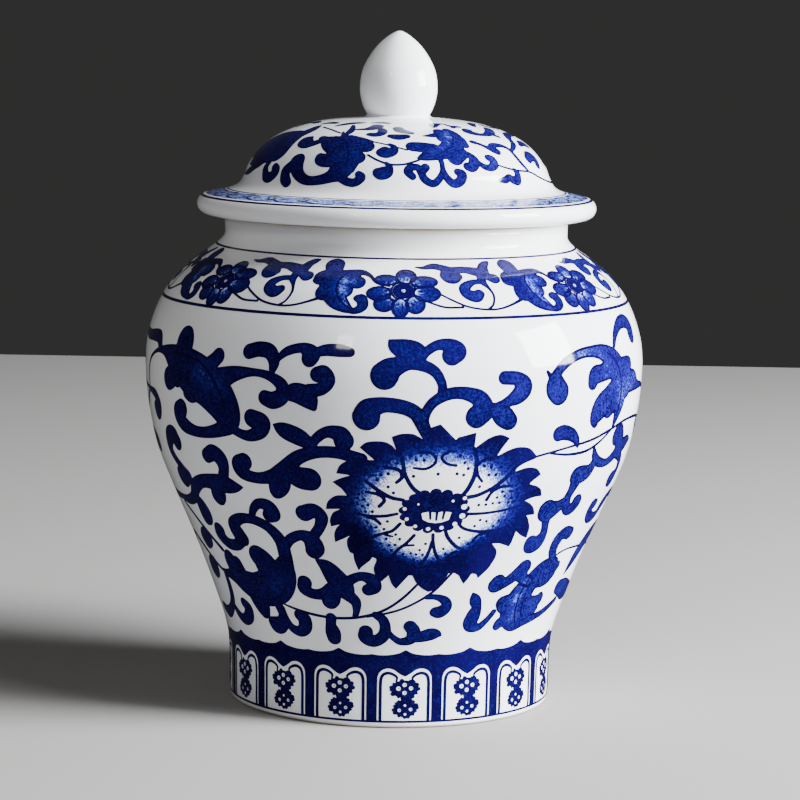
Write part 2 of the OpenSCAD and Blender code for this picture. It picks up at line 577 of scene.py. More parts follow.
CROWN = [
    [(7.2, 94.6, 1.0), (6.2, 97, 1.3), (4.8, 99.3, 1.4), (2, 100.6, 1.4), (-2, 101, 1.5),
     (-5.2, 100, 2.2), (-5.8, 98.4, 2.9)],
    [(7.3, 95, 1.1), (6.6, 98, 1.0), (8.2, 101.3, 1.0), (11.5, 103.3, 1.1), (15, 103.6, 1.2),
     (18.6, 102.4, 1.7), (19.8, 99.9, 2.3), (18.4, 98.4, 2.4)],
    [(10.4, 103.4, 0.9), (10.4, 105.5, 0.9), (9, 108, 1.0), (6.5, 109.4, 1.1),
     (3, 109.8, 1.2), (-0.5, 108.8, 2.2), (-2, 107.3, 2.9)],
    [(-1.2, 115, 0.15), (0.3, 113.6, 1.4), (2.8, 112.8, 2.2), (5, 112.3, 1.9), (5.8, 111, 0.8)],
    [(6, 110.6, 0.7), (7, 112.4, 0.9), (9.5, 113.9, 1.0), (12.3, 113.8, 1.4),
     (13.9, 112.6, 1.9), (12.6, 111.6, 2.0)],
    [(22.2, 100.6, 0.6), (25, 101.3, 0.9), (28, 102.7, 1.7), (29.3, 104.6, 2.0),
     (27.6, 106.3, 1.4), (24.6, 106.6, 1.3)],
    [(22.4, 100, 1.2), (24.5, 98.4, 2.2), (26, 97.2, 1.9)],
]
LEFT_STEMS = [
    [(-27, 95.4, 0.3), (-24.5, 94.3, 1.6), (-21, 93, 1.8), (-18, 91.3, 1.0)],
    [(-18.3, 90.8, 0.8), (-17, 93, 1.0), (-14.5, 94.6, 1.1), (-11.6, 94.2, 1.7),
     (-10.8, 92.8, 2.1)],
    [(-7, 88.6, 1.3), (-12, 89.9, 1.2), (-17, 89.8, 1.2), (-21.5, 88.3, 1.5), (-25.5, 85, 1.8),
     (-29, 83, 1.5), (-33, 82.2, 1.3), (-37, 83, 1.6), (-37.8, 85, 2.0), (-36, 86, 1.9)],
    [(-26, 84, 1.5), (-27, 81.5, 2.6), (-28.2, 79.3, 1.9), (-29, 77.8, 0.6)],
    [(-24, 84, 1.8), (-21.5, 83.2, 2.6), (-19.3, 83, 2.7)],
    [(-72, 71.8, 0.8), (-66, 71.6, 1.2), (-61, 73.2, 1.4), (-57.8, 76.5, 1.7),
     (-53.5, 78.7, 1.6), (-48, 79.2, 2.1), (-44, 79.2, 2.3), (-41, 79, 1.4), (-38.4, 79.1, 0.3)],
    [(-44.5, 80.3, 1.4), (-43.2, 83, 1.5), (-43.4, 85.6, 2.0), (-45.6, 87, 1.9),
     (-48.2, 86, 1.6)],
    [(-47, 78.5, 2.0), (-47.8, 76.3, 2.5), (-48.3, 75.2, 2.3)],
    [(-58.5, 77.5, 1.2), (-60.5, 80.5, 1.1), (-63.5, 82.8, 1.1), (-65.5, 85.5, 1.3),
     (-64.6, 88.5, 2.0), (-62, 89.4, 2.0), (-60.5, 87.8, 1.9)],
    [(-59.5, 79.5, 1.5), (-61.5, 79.3, 2.5), (-63, 78.5, 2.7)],
    [(-59.6, 73, 1.4), (-58.3, 71.2, 2.3), (-57.8, 68.6, 2.8), (-58.6, 67, 1.6)],
    [(-71, 70.5, 0.5), (-66.5, 67.2, 0.6), (-61, 62.5, 0.6), (-56, 58, 0.7)],
    [(-76, 60.5, 0.6), (-71, 57.5, 0.7), (-66, 54, 0.6), (-61, 50.8, 0.6), (-56, 49.8, 0.7)],
    [(-61.8, 62.3, 1.0), (-63.5, 60.8, 2.9), (-65, 59.8, 2.9)],
    [(-65.5, 53.3, 1.0), (-67.2, 50.8, 3.2), (-68, 49.8, 3.2)],
    [(-59.6, 50.3, 0.9), (-59.8, 45, 1.1), (-61, 40.3, 1.2), (-64.5, 36.5, 1.5),
     (-69, 34.5, 2.1), (-72.5, 35.4, 1.9)],
    [(-61, 38, 1.0), (-59.3, 35.3, 1.6), (-56.5, 34, 1.9), (-53.2, 35.6, 2.2), (-52, 38.7, 2.1),
     (-53.6, 40.4, 1.7)],
]
LOW_LEFT_LEAF = [
    [(-30.5, 56, 2.2), (-30.2, 60, 2.0), (-30.6, 64.5, 1.9), (-33.5, 68.3, 1.5), (-38, 70, 1.3),
     (-42.5, 69.7, 1.4), (-45.7, 67.5, 1.9), (-45.2, 65, 2.5), (-44.2, 63.5, 2.3)],
    [(-45, 62.5, 1.6), (-47.5, 60.9, 1.6), (-51, 60.8, 1.8), (-53.6, 62.8, 2.2),
     (-53.4, 64.6, 2.1)],
    [(-59, 50, 1.0), (-54, 49.5, 2.4), (-49, 48.2, 4.2), (-43, 47, 5.4), (-37, 48.8, 6.0),
     (-33, 52.5, 4.6), (-31, 57, 2.6)],
    [(-52, 50, 3), (-53.3, 54, 3), (-53.5, 56, 2.2)],
    [(-50, 51, 3), (-50.5, 54.5, 2.2)],
    [(-37, 54, 4.5), (-38.5, 57, 3.8), (-39.8, 58.3, 3.4)],
    [(-45, 44, 4), (-44.3, 41, 3.2), (-43.8, 38.8, 2.1)],
    [(-36.8, 42, 1.5), (-36, 38.8, 1.6), (-37, 36, 2.4), (-39.2, 34.8, 3.0), (-40.8, 35.6, 2.0)],
    [(-35.8, 41.5, 1.0), (-35, 37.8, 1.1), (-33.4, 34.8, 1.4), (-30.5, 33.8, 1.8),
     (-28.2, 35.6, 2.2), (-28, 38.6, 2.3), (-29.5, 39.8, 1.8)],
]
LOW_CURLS = [
    [(-35, 43.2, 0.3), (-30, 41.8, 0.45), (-24, 40.6, 0.5), (-17, 40.1, 0.5), (-10, 40.8, 0.5),
     (-4, 42.6, 0.5), (0.5, 45.2, 0.45), (4.5, 48.8, 0.45), (8, 53, 0.4)],
    [(-7, 41.2, 0.4), (-1, 42.6, 0.4), (4, 44.4, 0.4), (9, 47.3, 0.4), (13, 50.6, 0.45),
     (17.2, 56, 0.4)],
    [(-18.6, 40, 1.6), (-18.9, 37.5, 1.6), (-18.5, 34.8, 2.4), (-18.3, 32.7, 2.2)],
    [(-4.5, 42, 1.0), (-2.2, 40.3, 1.4), (-1.4, 37.2, 1.6), (-2.2, 34.2, 1.9), (-5, 32.4, 2.0),
     (-7.6, 33.8, 2.3), (-7.6, 35.8, 2.1)],
    [(-0.8, 36.5, 0.8), (0.8, 34.2, 0.9), (3.5, 32.4, 1.1), (6.8, 33.2, 1.7), (7.6, 36, 2.0),
     (6.4, 38, 1.9)],
    [(8, 33.6, 1.4), (10.5, 34.2, 1.9), (13.2, 34.9, 2.1), (15.2, 35, 1.3), (16.8, 34.3, 0.2)],
    [(11, 48.3, 0.8), (13.8, 48.2, 0.9), (16.5, 46.8, 1.3), (17.2, 44.6, 1.6), (15.4, 43, 2.0),
     (13.9, 43, 1.6)],
]
MID_LEFT = [
    [(-20.6, 59.4, 0.5), (-18, 57.5, 2.0), (-16, 54.5, 2.9), (-14, 51.2, 3.2),
     (-12.5, 48.6, 2.0), (-10.4, 46.3, 1.5), (-10.2, 43.4, 1.0), (-10.8, 41, 0.8)],
    [(-25.6, 51.6, 2.1), (-26, 49.5, 2.0), (-23.5, 48, 1.6), (-20, 48.3, 1.8), (-17, 50, 2.4)],
    [(-17, 49, 2.4), (-17.8, 46.8, 2.7), (-18.2, 45.9, 2.5)],
    [(-13, 52, 1.8), (-11.2, 53.8, 1.4), (-8.3, 55, 1.3), (-5.4, 54, 1.8), (-4.6, 51.6, 1.9),
     (-6.3, 50.6, 1.8)],
    [(-20, 67.5, 1.3), (-18.3, 70, 1.3), (-17.6, 72.8, 1.6), (-19.3, 74.6, 1.8),
     (-22, 73.6, 2.1)],
    [(-29.3, 63, 1.2), (-27.3, 65.4, 1.3), (-24, 66.9, 1.4), (-21.4, 65.8, 2.2),
     (-20.6, 63.5, 2.6), (-21, 62.3, 2.3)],
    [(-38, 70.8, 0.9), (-36.8, 73.2, 1.0), (-34.6, 75, 1.2), (-31.8, 74.6, 1.8),
     (-30.9, 72.6, 2.0), (-32.2, 71.8, 1.8)],
]
TOP_LEFT_LEAF = [
    [(-75.8, 98.5, 0.4), (-75.5, 103, 0.4), (-73, 106, 0.45), (-68, 108, 0.55),
     (-63, 108.3, 1.2), (-58, 106.8, 3.2), (-52, 104.8, 5.0), (-46, 102.8, 5.2),
     (-41.5, 99.5, 4.6), (-39.5, 96, 3.4), (-41, 93.5, 1.8), (-46, 91.9, 1.2), (-51, 91.6, 1.2),
     (-55.5, 92.8, 1.9), (-57, 95, 2.3), (-55.6, 96.3, 2.0)],
    [(-55, 108, 3), (-54.8, 110.8, 3.2), (-54.8, 111.8, 2.9)],
    [(-46, 106, 2), (-43.5, 108, 1.6), (-42.2, 109.2, 1.6)],
    [(-58, 105, 2.5), (-59.5, 103.2, 2.5), (-61, 102.4, 2.4)],
    [(-56, 104, 2), (-57, 102.6, 1.6)],
    [(-50, 102, 3.5), (-51.5, 100.2, 2.0), (-53, 100.1, 1.3)],
    [(-42, 104, 2.5), (-37, 105.8, 1.5), (-32, 106.5, 0.8), (-28, 106, 0.9),
     (-25, 104.3, 1.3), (-24.8, 102, 1.6), (-27, 100.8, 1.7), (-29, 101.2, 1.5)],
    [(-40, 95.5, 1.8), (-37.6, 93.2, 1.0), (-34, 92.3, 1.1), (-30.8, 93.6, 1.6),
     (-30, 95.6, 1.9), (-32.6, 96.4, 1.9)],
]
TOP_LEFT_CURLS = [
    [(-27.3, 107, 0.7), (-27, 109.2, 1.2), (-28.3, 111.2, 1.5), (-31, 111.6, 1.5),
     (-33.6, 110.9, 1.5)],
    [(-26.3, 109.6, 0.6), (-24, 111.6, 0.9), (-20.5, 112.5, 1.0), (-18.4, 111.3, 1.8),
     (-18.6, 110.3, 1.7)],
    [(-17.5, 111.6, 0.9), (-15, 112.3, 1.1), (-12, 112.3, 1.2), (-9.6, 112, 0.9)],
    [(-24, 102.5, 1.2), (-21.3, 102.8, 2.0), (-18.8, 101.8, 2.0), (-17.4, 99.8, 0.7)],
    [(-18.5, 103.4, 1.3), (-15.6, 104, 1.2), (-14.2, 105.8, 1.4), (-15.2, 107.3, 1.5),
     (-16.6, 107, 1.5)],
    [(-84, 111, 0.8), (-78, 110.6, 1.0), (-72.5, 111, 1.2), (-68.6, 110.9, 1.3),
     (-66.8, 109, 1.0)],
    [(-76, 98.5, 0.6), (-73.5, 98.3, 0.8), (-70.5, 97.6, 1.1), (-68.8, 95.6, 1.7),
     (-70, 93.9, 1.9), (-71, 94.6, 1.5)],
]
LOW_RIGHT_CURLS = [
    [(84, 107, 0.8), (88, 108.6, 1.8), (92, 107, 2.6), (93, 104.6, 1.8)],
    [(80, 92, 0.9), (84, 89.6, 1.9), (88, 90.6, 2.6), (90, 93, 1.6)],
    [(82, 68, 0.9), (86, 70, 2.0), (90, 68.6, 2.6), (91, 65.6, 1.6)],
    [(96, 84, 1.2), (99, 86.6, 2.2), (103, 85.4, 2.2)],
    [(25.2, 48.7, 0.5), (26.3, 46.4, 1.7), (27.3, 44, 1.5), (26.8, 41.2, 2.3),
     (26.2, 38.6, 2.4), (26.8, 37, 1.9), (29.5, 36.6, 1.3), (32.2, 39, 1.0), (34, 41.6, 0.9)],
    [(32.8, 52, 2.4), (32.4, 51, 2.4), (35.5, 51.6, 1.7), (38.5, 53.6, 2.0), (41, 55.6, 2.5),
     (41, 56, 2.3)],
    [(40.5, 54, 2.4), (42.5, 52, 1.6), (45, 50.8, 1.4)],
]
LOW_RIGHT_LEAF = [
    [(54, 55, 2.6), (50, 54.2, 3.2), (46.5, 50.5, 3.8), (43.5, 46, 5.0), (42.5, 41, 5.5),
     (44, 37.2, 3.8), (48, 36.6, 2.2), (54, 37, 1.3), (60, 38.6, 1.2), (66, 41.2, 1.1)],
    [(42, 44, 4), (38.5, 43.8, 3.4), (36.6, 44.5, 2.3)],
    [(50, 53, 3), (54, 53, 2.8), (56.8, 54.2, 1.7)],
    [(49, 51, 3), (53, 50.8, 2.6), (55.5, 52, 2.0)],
    [(47, 42, 3.5), (51, 42.3, 2.8), (53.3, 43.5, 2.0), (53.4, 44.4, 1.5)],
    [(48, 39, 2.5), (52, 40.5, 2.3)],
    [(40, 38.5, 2.4), (37.6, 37.2, 1.9), (36.9, 36.3, 1.6)],
    [(52.8, 57.6, 1.2), (51.4, 60.2, 1.7), (51.6, 63.4, 2.1), (53.6, 65.4, 1.9),
     (56.4, 64.9, 1.8)],
    [(52.5, 56.5, 0.5), (55, 58.6, 0.4), (59.5, 59.5, 0.35), (66, 59.3, 0.4), (74, 58.8, 0.4),
     (86, 57, 0.4), (97, 56.4, 0.45), (104, 60.5, 0.6)],
    [(64.4, 46, 2.4), (68, 45.2, 3.0), (72.5, 43.6, 3.4), (78, 42.6, 2.6), (83, 43.4, 1.2)],
    [(65.2, 50.2, 0.4), (67.2, 53.4, 1.7), (69.8, 57, 3.0), (73.5, 60.4, 3.4), (78, 62.6, 2.8),
     (83, 62.6, 1.4)],
]
RIGHT_CHAIN = [
    [(53.6, 88.4, 0.6), (54.6, 86.6, 1.0), (57, 85, 1.1), (61, 84.4, 1.0), (65, 86, 1.5),
     (66.6, 88.6, 2.2), (64.9, 90.8, 2.6), (63.8, 90.6, 2.2)],
    [(66, 87, 1.6), (69.5, 87.6, 1.9), (72.5, 88.2, 1.4), (75.6, 88.3, 0.3)],
    [(67, 86, 1.3), (70.4, 84.4, 1.1), (71.6, 81.6, 1.4), (70.3, 79, 2.1), (68.8, 79, 2.0)],
    [(55.2, 85.6, 1.1), (53.4, 83, 1.8), (50.4, 82.4, 2.4), (49.2, 82.4, 2.3)],
    [(49.6, 81, 2), (49, 78.4, 1.4), (48.2, 76, 1.4)],
    [(48.6, 76, 1.2), (49.4, 73.6, 1.4), (51.6, 72.8, 1.7), (53.2, 74.3, 1.9), (53, 75.2, 1.6)],
    [(48, 75.8, 1.2), (45.6, 74, 2.0), (42.8, 73.2, 2.9), (42, 74, 2.5)],
    [(43, 71.8, 1.6), (43.6, 69, 1.1), (44, 66.2, 1.4), (42.8, 63.8, 2.4), (41, 63.2, 2.5),
     (40.2, 64.4, 1.8)],
    [(76, 73, 1.0), (72.5, 70.5, 1.2), (69.5, 68.4, 1.4), (66, 68.2, 1.6), (63.6, 69.8, 1.6),
     (63.8, 72.2, 1.6), (65.2, 72.4, 1.3)],
    [(70, 68.8, 1.0), (72, 72, 1.2), (76, 73.8, 1.2), (82, 73.6, 1.2), (88, 72.4, 1.2),
     (98, 71.8, 1.1), (108, 71.8, 0.9)],
    [(40, 93.4, 1.6), (41.5, 93.6, 1.6), (44.2, 92.8, 1.3), (46, 91.4, 0.9), (46.8, 90, 0.5)],
    [(30, 87.6, 0.35), (36, 88.8, 0.3), (44, 90, 0.3), (52, 91, 0.35), (60, 92.7, 0.35),
     (67, 93.9, 0.35), (76, 93.9, 0.4), (88, 92.6, 0.4), (98, 94.2, 0.5), (104, 98.5, 0.6)],
    [(38.5, 88.9, 0.25), (44, 88.2, 0.35), (50, 88.4, 0.4), (55, 90, 0.35), (60, 92.6, 0.3)],
]
TOP_RIGHT_LEAF = [
    [(38.9, 102.8, 2.7), (38, 104, 2.6), (38.2, 106.6, 1.2), (41, 109, 1.0), (45.5, 110.6, 1.0),
     (50.5, 110.9, 1.2), (55, 110, 2.0), (59, 107.3, 3.2), (61.8, 103.3, 3.6),
     (62.4, 99.4, 2.6), (61.4, 96, 1.4), (60.3, 93.2, 0.5)],
    [(37, 105.5, 0.8), (35.6, 107.4, 0.4)],
    [(57, 107, 2.5), (53.5, 106, 1.9), (50.6, 105.6, 2.0), (49.8, 104.2, 1.6)],
    [(60, 102, 3), (56.5, 100.3, 2.6), (53.5, 98.3, 2.9), (51.6, 96.2, 1.7), (52, 94.8, 1.0)],
    [(60, 100, 3), (57, 98, 2.4)],
    [(61, 106, 2.5), (65, 106.4, 2.2), (66.5, 106.6, 1.8)],
    [(62, 104, 2.5), (67, 103, 2.6), (70.5, 102.6, 2.2), (74, 101.4, 1.0), (80, 100.8, 0.6),
     (86, 99.6, 0.5), (94, 99.6, 0.5), (104, 98.6, 0.5)],
    [(63, 101, 2.5), (66, 101.3, 1.8)],
    [(59.6, 111.4, 0.6), (61.6, 114, 0.9), (65, 116, 1.2), (69, 116.4, 1.6), (72, 115, 2.0),
     (71.6, 113.2, 2.1)],
]
SCROLL = {
    "crown": CROWN, "left_stems": LEFT_STEMS, "low_left_leaf": LOW_LEFT_LEAF,
    "low_curls": LOW_CURLS, "mid_left": MID_LEFT, "top_left_leaf": TOP_LEFT_LEAF,
    "top_left_curls": TOP_LEFT_CURLS, "low_right_curls": LOW_RIGHT_CURLS,
    "low_right_leaf": LOW_RIGHT_LEAF, "right_chain": RIGHT_CHAIN,
    "top_right_leaf": TOP_RIGHT_LEAF,
}
# Lighter places in the washed leaves: (turn, climb, radius, strength)
SCROLL_LIGHTS = [
    (-47, 105.5, 4, 0.22), (-42, 103, 3, 0.17), (-34, 106, 3, 0.10), (42, 110, 3, 0.22),
    (47, 111, 3, 0.26), (53, 110, 3, 0.17), (63, 100, 3, 0.22), (61, 104, 2.5, 0.14),
    (68, 103, 4, 0.22), (56, 106, 3, 0.14), (54, 98, 3, 0.10), (44, 50, 2.5, 0.26),
    (42, 45, 2.5, 0.29), (42.6, 39, 2.5, 0.26), (50, 42, 3, 0.10), (-36, 49, 4, 0.10),
    (28, 104, 2, 0.17), (70, 57, 3, 0.14), (66, 44, 3, 0.14), (38, 103, 3, 0.10),
]
SCROLL_RIBS = [
    [(-59, 108.6, 0.25), (-54, 108.3, 0.3), (-48, 107.3, 0.3), (-43.5, 104, 0.35),
     (-40.6, 99.5, 0.3), (-40, 96.5, 0.2)],
    [(45.5, 52.4, 0.2), (43.6, 49, 0.3), (42.8, 44.6, 0.3), (43.2, 40, 0.3), (44.6, 36.4, 0.2)],
    [(48, 53.2, 0.2), (46, 49.5, 0.3), (45.4, 44.6, 0.3), (46, 40, 0.3), (47.4, 37.6, 0.2)],
    [(56, 110.2, 0.2), (59.5, 108, 0.3), (62, 104, 0.3), (62.6, 99.6, 0.3), (61.2, 95.6, 0.2)],
    [(-50, 45, 0.25), (-43, 43.6, 0.35), (-36, 45.4, 0.35), (-31.6, 50.5, 0.3),
     (-30.2, 56.5, 0.2)],
]

# ---------------------------------------------------------------- the lotus

# Each petal runs clockwise; the number is the place of its tip.
LOTUS_PETALS = [
    (1, [(6.7, 95.6), (10.3, 96.9), (13.9, 93.3)]),
    (1, [(14.4, 93.9), (18.5, 94.9), (18.3, 91.1)]),
    (3, [(18.9, 91.7), (21.7, 93.6), (24.4, 94.2), (26.7, 93.3), (25, 91.1), (23.9, 89.2)]),
    (3, [(26.1, 90.3), (28.9, 91.1), (32.2, 90.6), (34.7, 88.3), (31.1, 87.8), (28.9, 86.1)]),
    (3, [(29.4, 85.3), (32.2, 86), (35, 85.6), (36.7, 83.9), (35, 82.8), (33.9, 81.7)]),
    (2, [(36.1, 81.1), (37.8, 80), (38.7, 78.1), (36.1, 77.9), (33.9, 77.2)]),
    (2, [(35.6, 76.4), (37.2, 75), (38.4, 72.8), (35.8, 72.8)]),
    (2, [(36.7, 71.7), (38.1, 68.9), (38.2, 65.8), (36.1, 66.7), (33.9, 68.3)]),
    (1, [(33.6, 65), (33.1, 63.6), (31.1, 64.4), (29.4, 65)]),
    (5, [(27.5, 65), (29.4, 62.8), (29.7, 60.6), (28.9, 58.3), (28.1, 56.7), (25.6, 53.9),
         (24.7, 55.3), (23.3, 55.6)]),
    (1, [(22.5, 53.9), (21.4, 52.3), (20.3, 53.9), (19.4, 55.3), (18.1, 56.1)]),
    (3, [(16.4, 56.1), (15, 53.3), (13.3, 51.1), (11.1, 50), (8.9, 51.4), (7.2, 53.3),
         (6.1, 55.6)]),
    (2, [(5, 55.6), (3.3, 53.3), (1.6, 51.1), (0.3, 52.8), (-0.6, 55.6)]),
    (1, [(-2.2, 53.9), (-3.2, 53.1), (-4.2, 55), (-4.7, 57.8), (-3.9, 60.6), (-5, 61.4)]),
    (2, [(-5.6, 60.3), (-7.8, 58.3), (-8.9, 56.9), (-9.9, 60), (-10.1, 62.2)]),
    (1, [(-11.1, 62.8), (-10.6, 61.7), (-11.5, 64.4), (-11.4, 66.7), (-10.3, 68.1)]),
    (1, [(-12.2, 66.9), (-14.7, 65.6), (-14.7, 68.1), (-13.9, 70), (-12.8, 71.1)]),
    (0, [(-15.3, 70.3), (-15.4, 72.2), (-14.4, 74.4), (-12.2, 75.6)]),
    (0, [(-16.1, 75.3), (-15.4, 77.5), (-13.3, 79.2), (-10.6, 79.4)]),
    (1, [(-11.7, 81.1), (-13.8, 82.8), (-11.7, 83.9), (-9.4, 84.7)]),
    (0, [(-12.8, 85), (-11.7, 87.2), (-8.9, 88.6), (-6.1, 88.6), (-4, 88.5)]),
    (0, [(-7.3, 91.4), (-5.6, 92.7), (-2.2, 92.9), (0, 91.9), (1.1, 90)]),
    (0, [(-0.3, 94), (1.7, 94.7), (4.4, 94.7), (6.4, 93.6)]),
]
LOTUS_WINDOW = (-20, 44, 46, 100)
LOTUS_CENTRE = (10.8, 76.6)
LOTUS_HALO = (27.0, 19.5, 25.0)   # reach to the sides, up and down
LOTUS_FADE = (0.42, 0.90)         # where the white heart turns to solid blue
# Petals that are solid to the centre: (turn, climb, radius, strength)
LOTUS_DARKS = [(25, 61, 6.0, 1.0), (17, 58.5, 4, 0.7), (10.8, 55, 4.5, 0.9), (1, 57, 4.5, 0.8),
               (-9, 66, 4.5, 0.5), (29, 64, 4, 0.5)]
LOTUS_VEINS = [
    [(1.2, 91, 0.35), (2.2, 88.5, 0.4), (2.9, 85.2, 0.4), (4.6, 82, 0.45), (6.8, 80, 0.5)],
    [(18.3, 91.2, 0.4), (19.1, 88, 0.45), (18.9, 84.5, 0.5), (17.8, 81.4, 0.5),
     (16.8, 79.8, 0.5)],
    [(4.8, 86.8, 0.25), (7.4, 86.6, 0.3), (9.4, 87.8, 0.3), (9.5, 89.4, 0.3), (8, 90.5, 0.3),
     (6, 90.3, 0.2)],
    [(14.4, 87.3, 0.3), (12.2, 87.8, 0.3), (11, 89.2, 0.3), (12, 90.4, 0.3), (14, 90.8, 0.2)],
    [(19.2, 87, 0.35), (20.5, 88.3, 0.35), (22.5, 88.8, 0.35), (24.5, 89, 0.35)],
    [(19.3, 86.5, 0.3), (19.9, 84.6, 0.3), (21, 83.2, 0.3)],
    [(17.2, 79, 0.5), (20.5, 79.6, 0.45), (24.5, 81.7, 0.45), (27.6, 84.4, 0.45),
     (30, 87, 0.4), (34, 88.4, 0.3)],
    [(23, 78.2, 0.4), (24, 80.2, 0.35), (26.2, 81.5, 0.35), (29, 81.6, 0.3)],
    [(18.8, 74.4, 0.4), (23, 74.4, 0.35), (28, 74.9, 0.35), (33, 75.9, 0.3)],
    [(17.4, 72.6, 0.35), (17.4, 71, 0.35), (19.6, 69.7, 0.4), (23.5, 69, 0.4),
     (28, 69.2, 0.4), (33, 69.8, 0.3)],
    [(13.6, 70, 0.4), (14.6, 67.6, 0.45), (17, 64.9, 0.45), (20, 63.2, 0.4)],
    [(21.5, 66, 0.35), (22.4, 67.6, 0.35), (24.6, 68.4, 0.35), (26.8, 67.4, 0.4),
     (27.2, 65.4, 0.4)],
    [(15, 61.2, 0.35), (16.6, 62.8, 0.35), (18.6, 62.8, 0.35), (20, 61.6, 0.3)],
    [(10.6, 68.6, 0.4), (10.9, 66, 0.4), (11.9, 62.6, 0.4), (13.6, 59.8, 0.4)],
    [(10.5, 66.4, 0.35), (10, 63.4, 0.4), (8.9, 60.6, 0.4), (7, 58.4, 0.4)],
    [(5.8, 68.4, 0.4), (3.9, 66, 0.4), (1.8, 64, 0.4), (0.8, 62.3, 0.35), (1.8, 60.8, 0.3)],
    [(5.8, 65.4, 0.3), (3.4, 65.3, 0.3)],
    [(2.1, 71.8, 0.4), (0.2, 69.7, 0.4), (-2.6, 68.7, 0.4), (-4.8, 67.6, 0.4),
     (-5.2, 65.6, 0.35)],
    [(0.3, 68, 0.25), (-1.6, 68.5, 0.3)],
    [(1.3, 74.7, 0.35), (-1.6, 74, 0.4), (-5.4, 73.9, 0.35), (-9, 74.6, 0.3)],
    [(-2.8, 71.7, 0.35), (-4, 72.9, 0.35), (-6, 73.5, 0.3)],
    [(2.6, 78.6, 0.4), (-0.2, 79.2, 0.45), (-3, 80.9, 0.45), (-6, 83.4, 0.35)],
    [(-3, 76.7, 0.4), (-1.8, 78.4, 0.4), (-3, 79.9, 0.4), (-6, 80.6, 0.3)],
    [(1, 83.2, 0.35), (2.2, 84.6, 0.4), (1.4, 86.3, 0.4), (-1.8, 87, 0.35)],
]
LOTUS_VEIN_SWELL = 1.2    # the veins are drawn this much wider
LOTUS_HEART = (10.4, 75.3, 7.5, 5.3)    # turn, climb, half width and half height
LOTUS_SCALLOPS = 17       # around the heart
LOTUS_SCALLOP = (1.35, 1.1)    # half width and half height of one
LOTUS_SEEDS = [(7.2, 74.9), (9, 75.3), (10.8, 75.0), (12.6, 75.3), (14.6, 75), (14.2, 72.9),
               (12.4, 72.2), (10.8, 72.0), (9, 72.3), (7.6, 73.1)]
LOTUS_SEED_LINES = [[(9.3, 75.2, 0.34), (9.5, 73.2, 0.28)], [(11, 75.2, 0.36), (11, 72.9, 0.3)],
                    [(12.8, 75.2, 0.34), (12.6, 73.2, 0.28)]]
# Light spots between the scallops: (turn, climb, radius)
LOTUS_PEARLS = [(17.4, 78.9, 0.5), (17.6, 76.5, 0.75), (17.5, 73.9, 0.75), (15.9, 71.6, 0.62),
                (12.6, 70.6, 0.55), (9.2, 70.3, 0.55), (5.9, 71.1, 0.5), (3.7, 73.2, 0.5),
                (3.1, 76.1, 0.5), (14.6, 78.2, 0.35), (6.3, 77.4, 0.3)]
# Dots on the pale part of the petals
DOT_ROWS, DOT_COLUMNS = 27, 30
DOTS_FROM = (-14, 56)     # turn and climb of the first one
DOT_SPACING = 1.9
DOT_ROW = 0.85            # spacing of the rows, as a share of DOT_SPACING
DOT_JITTER = 0.4
DOT_RADIUS = 0.43
DOT_CLEAR = (0.7, 1.0)    # least distance from the lines and from the flower's edge
DOT_HOLLOW = (11.0, 9.0)  # half width and half height of the middle, which has none
DOT_DARKEST = 0.85        # and none where the petals are darker than this
DOT_CHANCE = (0.5, 0.9)   # chance of a dot next to the middle, and its growth outwards

# ---------------------------------------------------------------- shoulder band

SHOULDER_REPEATS = 7
SHOULDER_UNIT = 360 / SHOULDER_REPEATS
SHOULDER_WINDOW = (-22, 36, 118, 142)
SHOULDER_LINES = [(140.7, 0.38), (120.1, 0.38)]
SHOULDER_FLOWER = (2.2, 127.8)
# Half width and half height of the flower's disc, of its dark heart and of the light in that
SHOULDER_DISC, SHOULDER_HEART, SHOULDER_EYE = (3.4, 3.2), (2.8, 2.6), (0.55, 0.5)
SHOULDER_PETAL_LINE = (0.2, 0.34)    # inset and half width of the line around a petal
SHOULDER_TICKS = (-0.36, -0.14, 0.10, 0.34)    # directions of a petal's ticks, in radians
SHOULDER_TICK_NEAR = 3.2
# Tone of the petals next to the heart and its growth, which starts and spreads as said last
SHOULDER_PETAL_TONE = (0.34, 0.50, 2.9, 3.2)
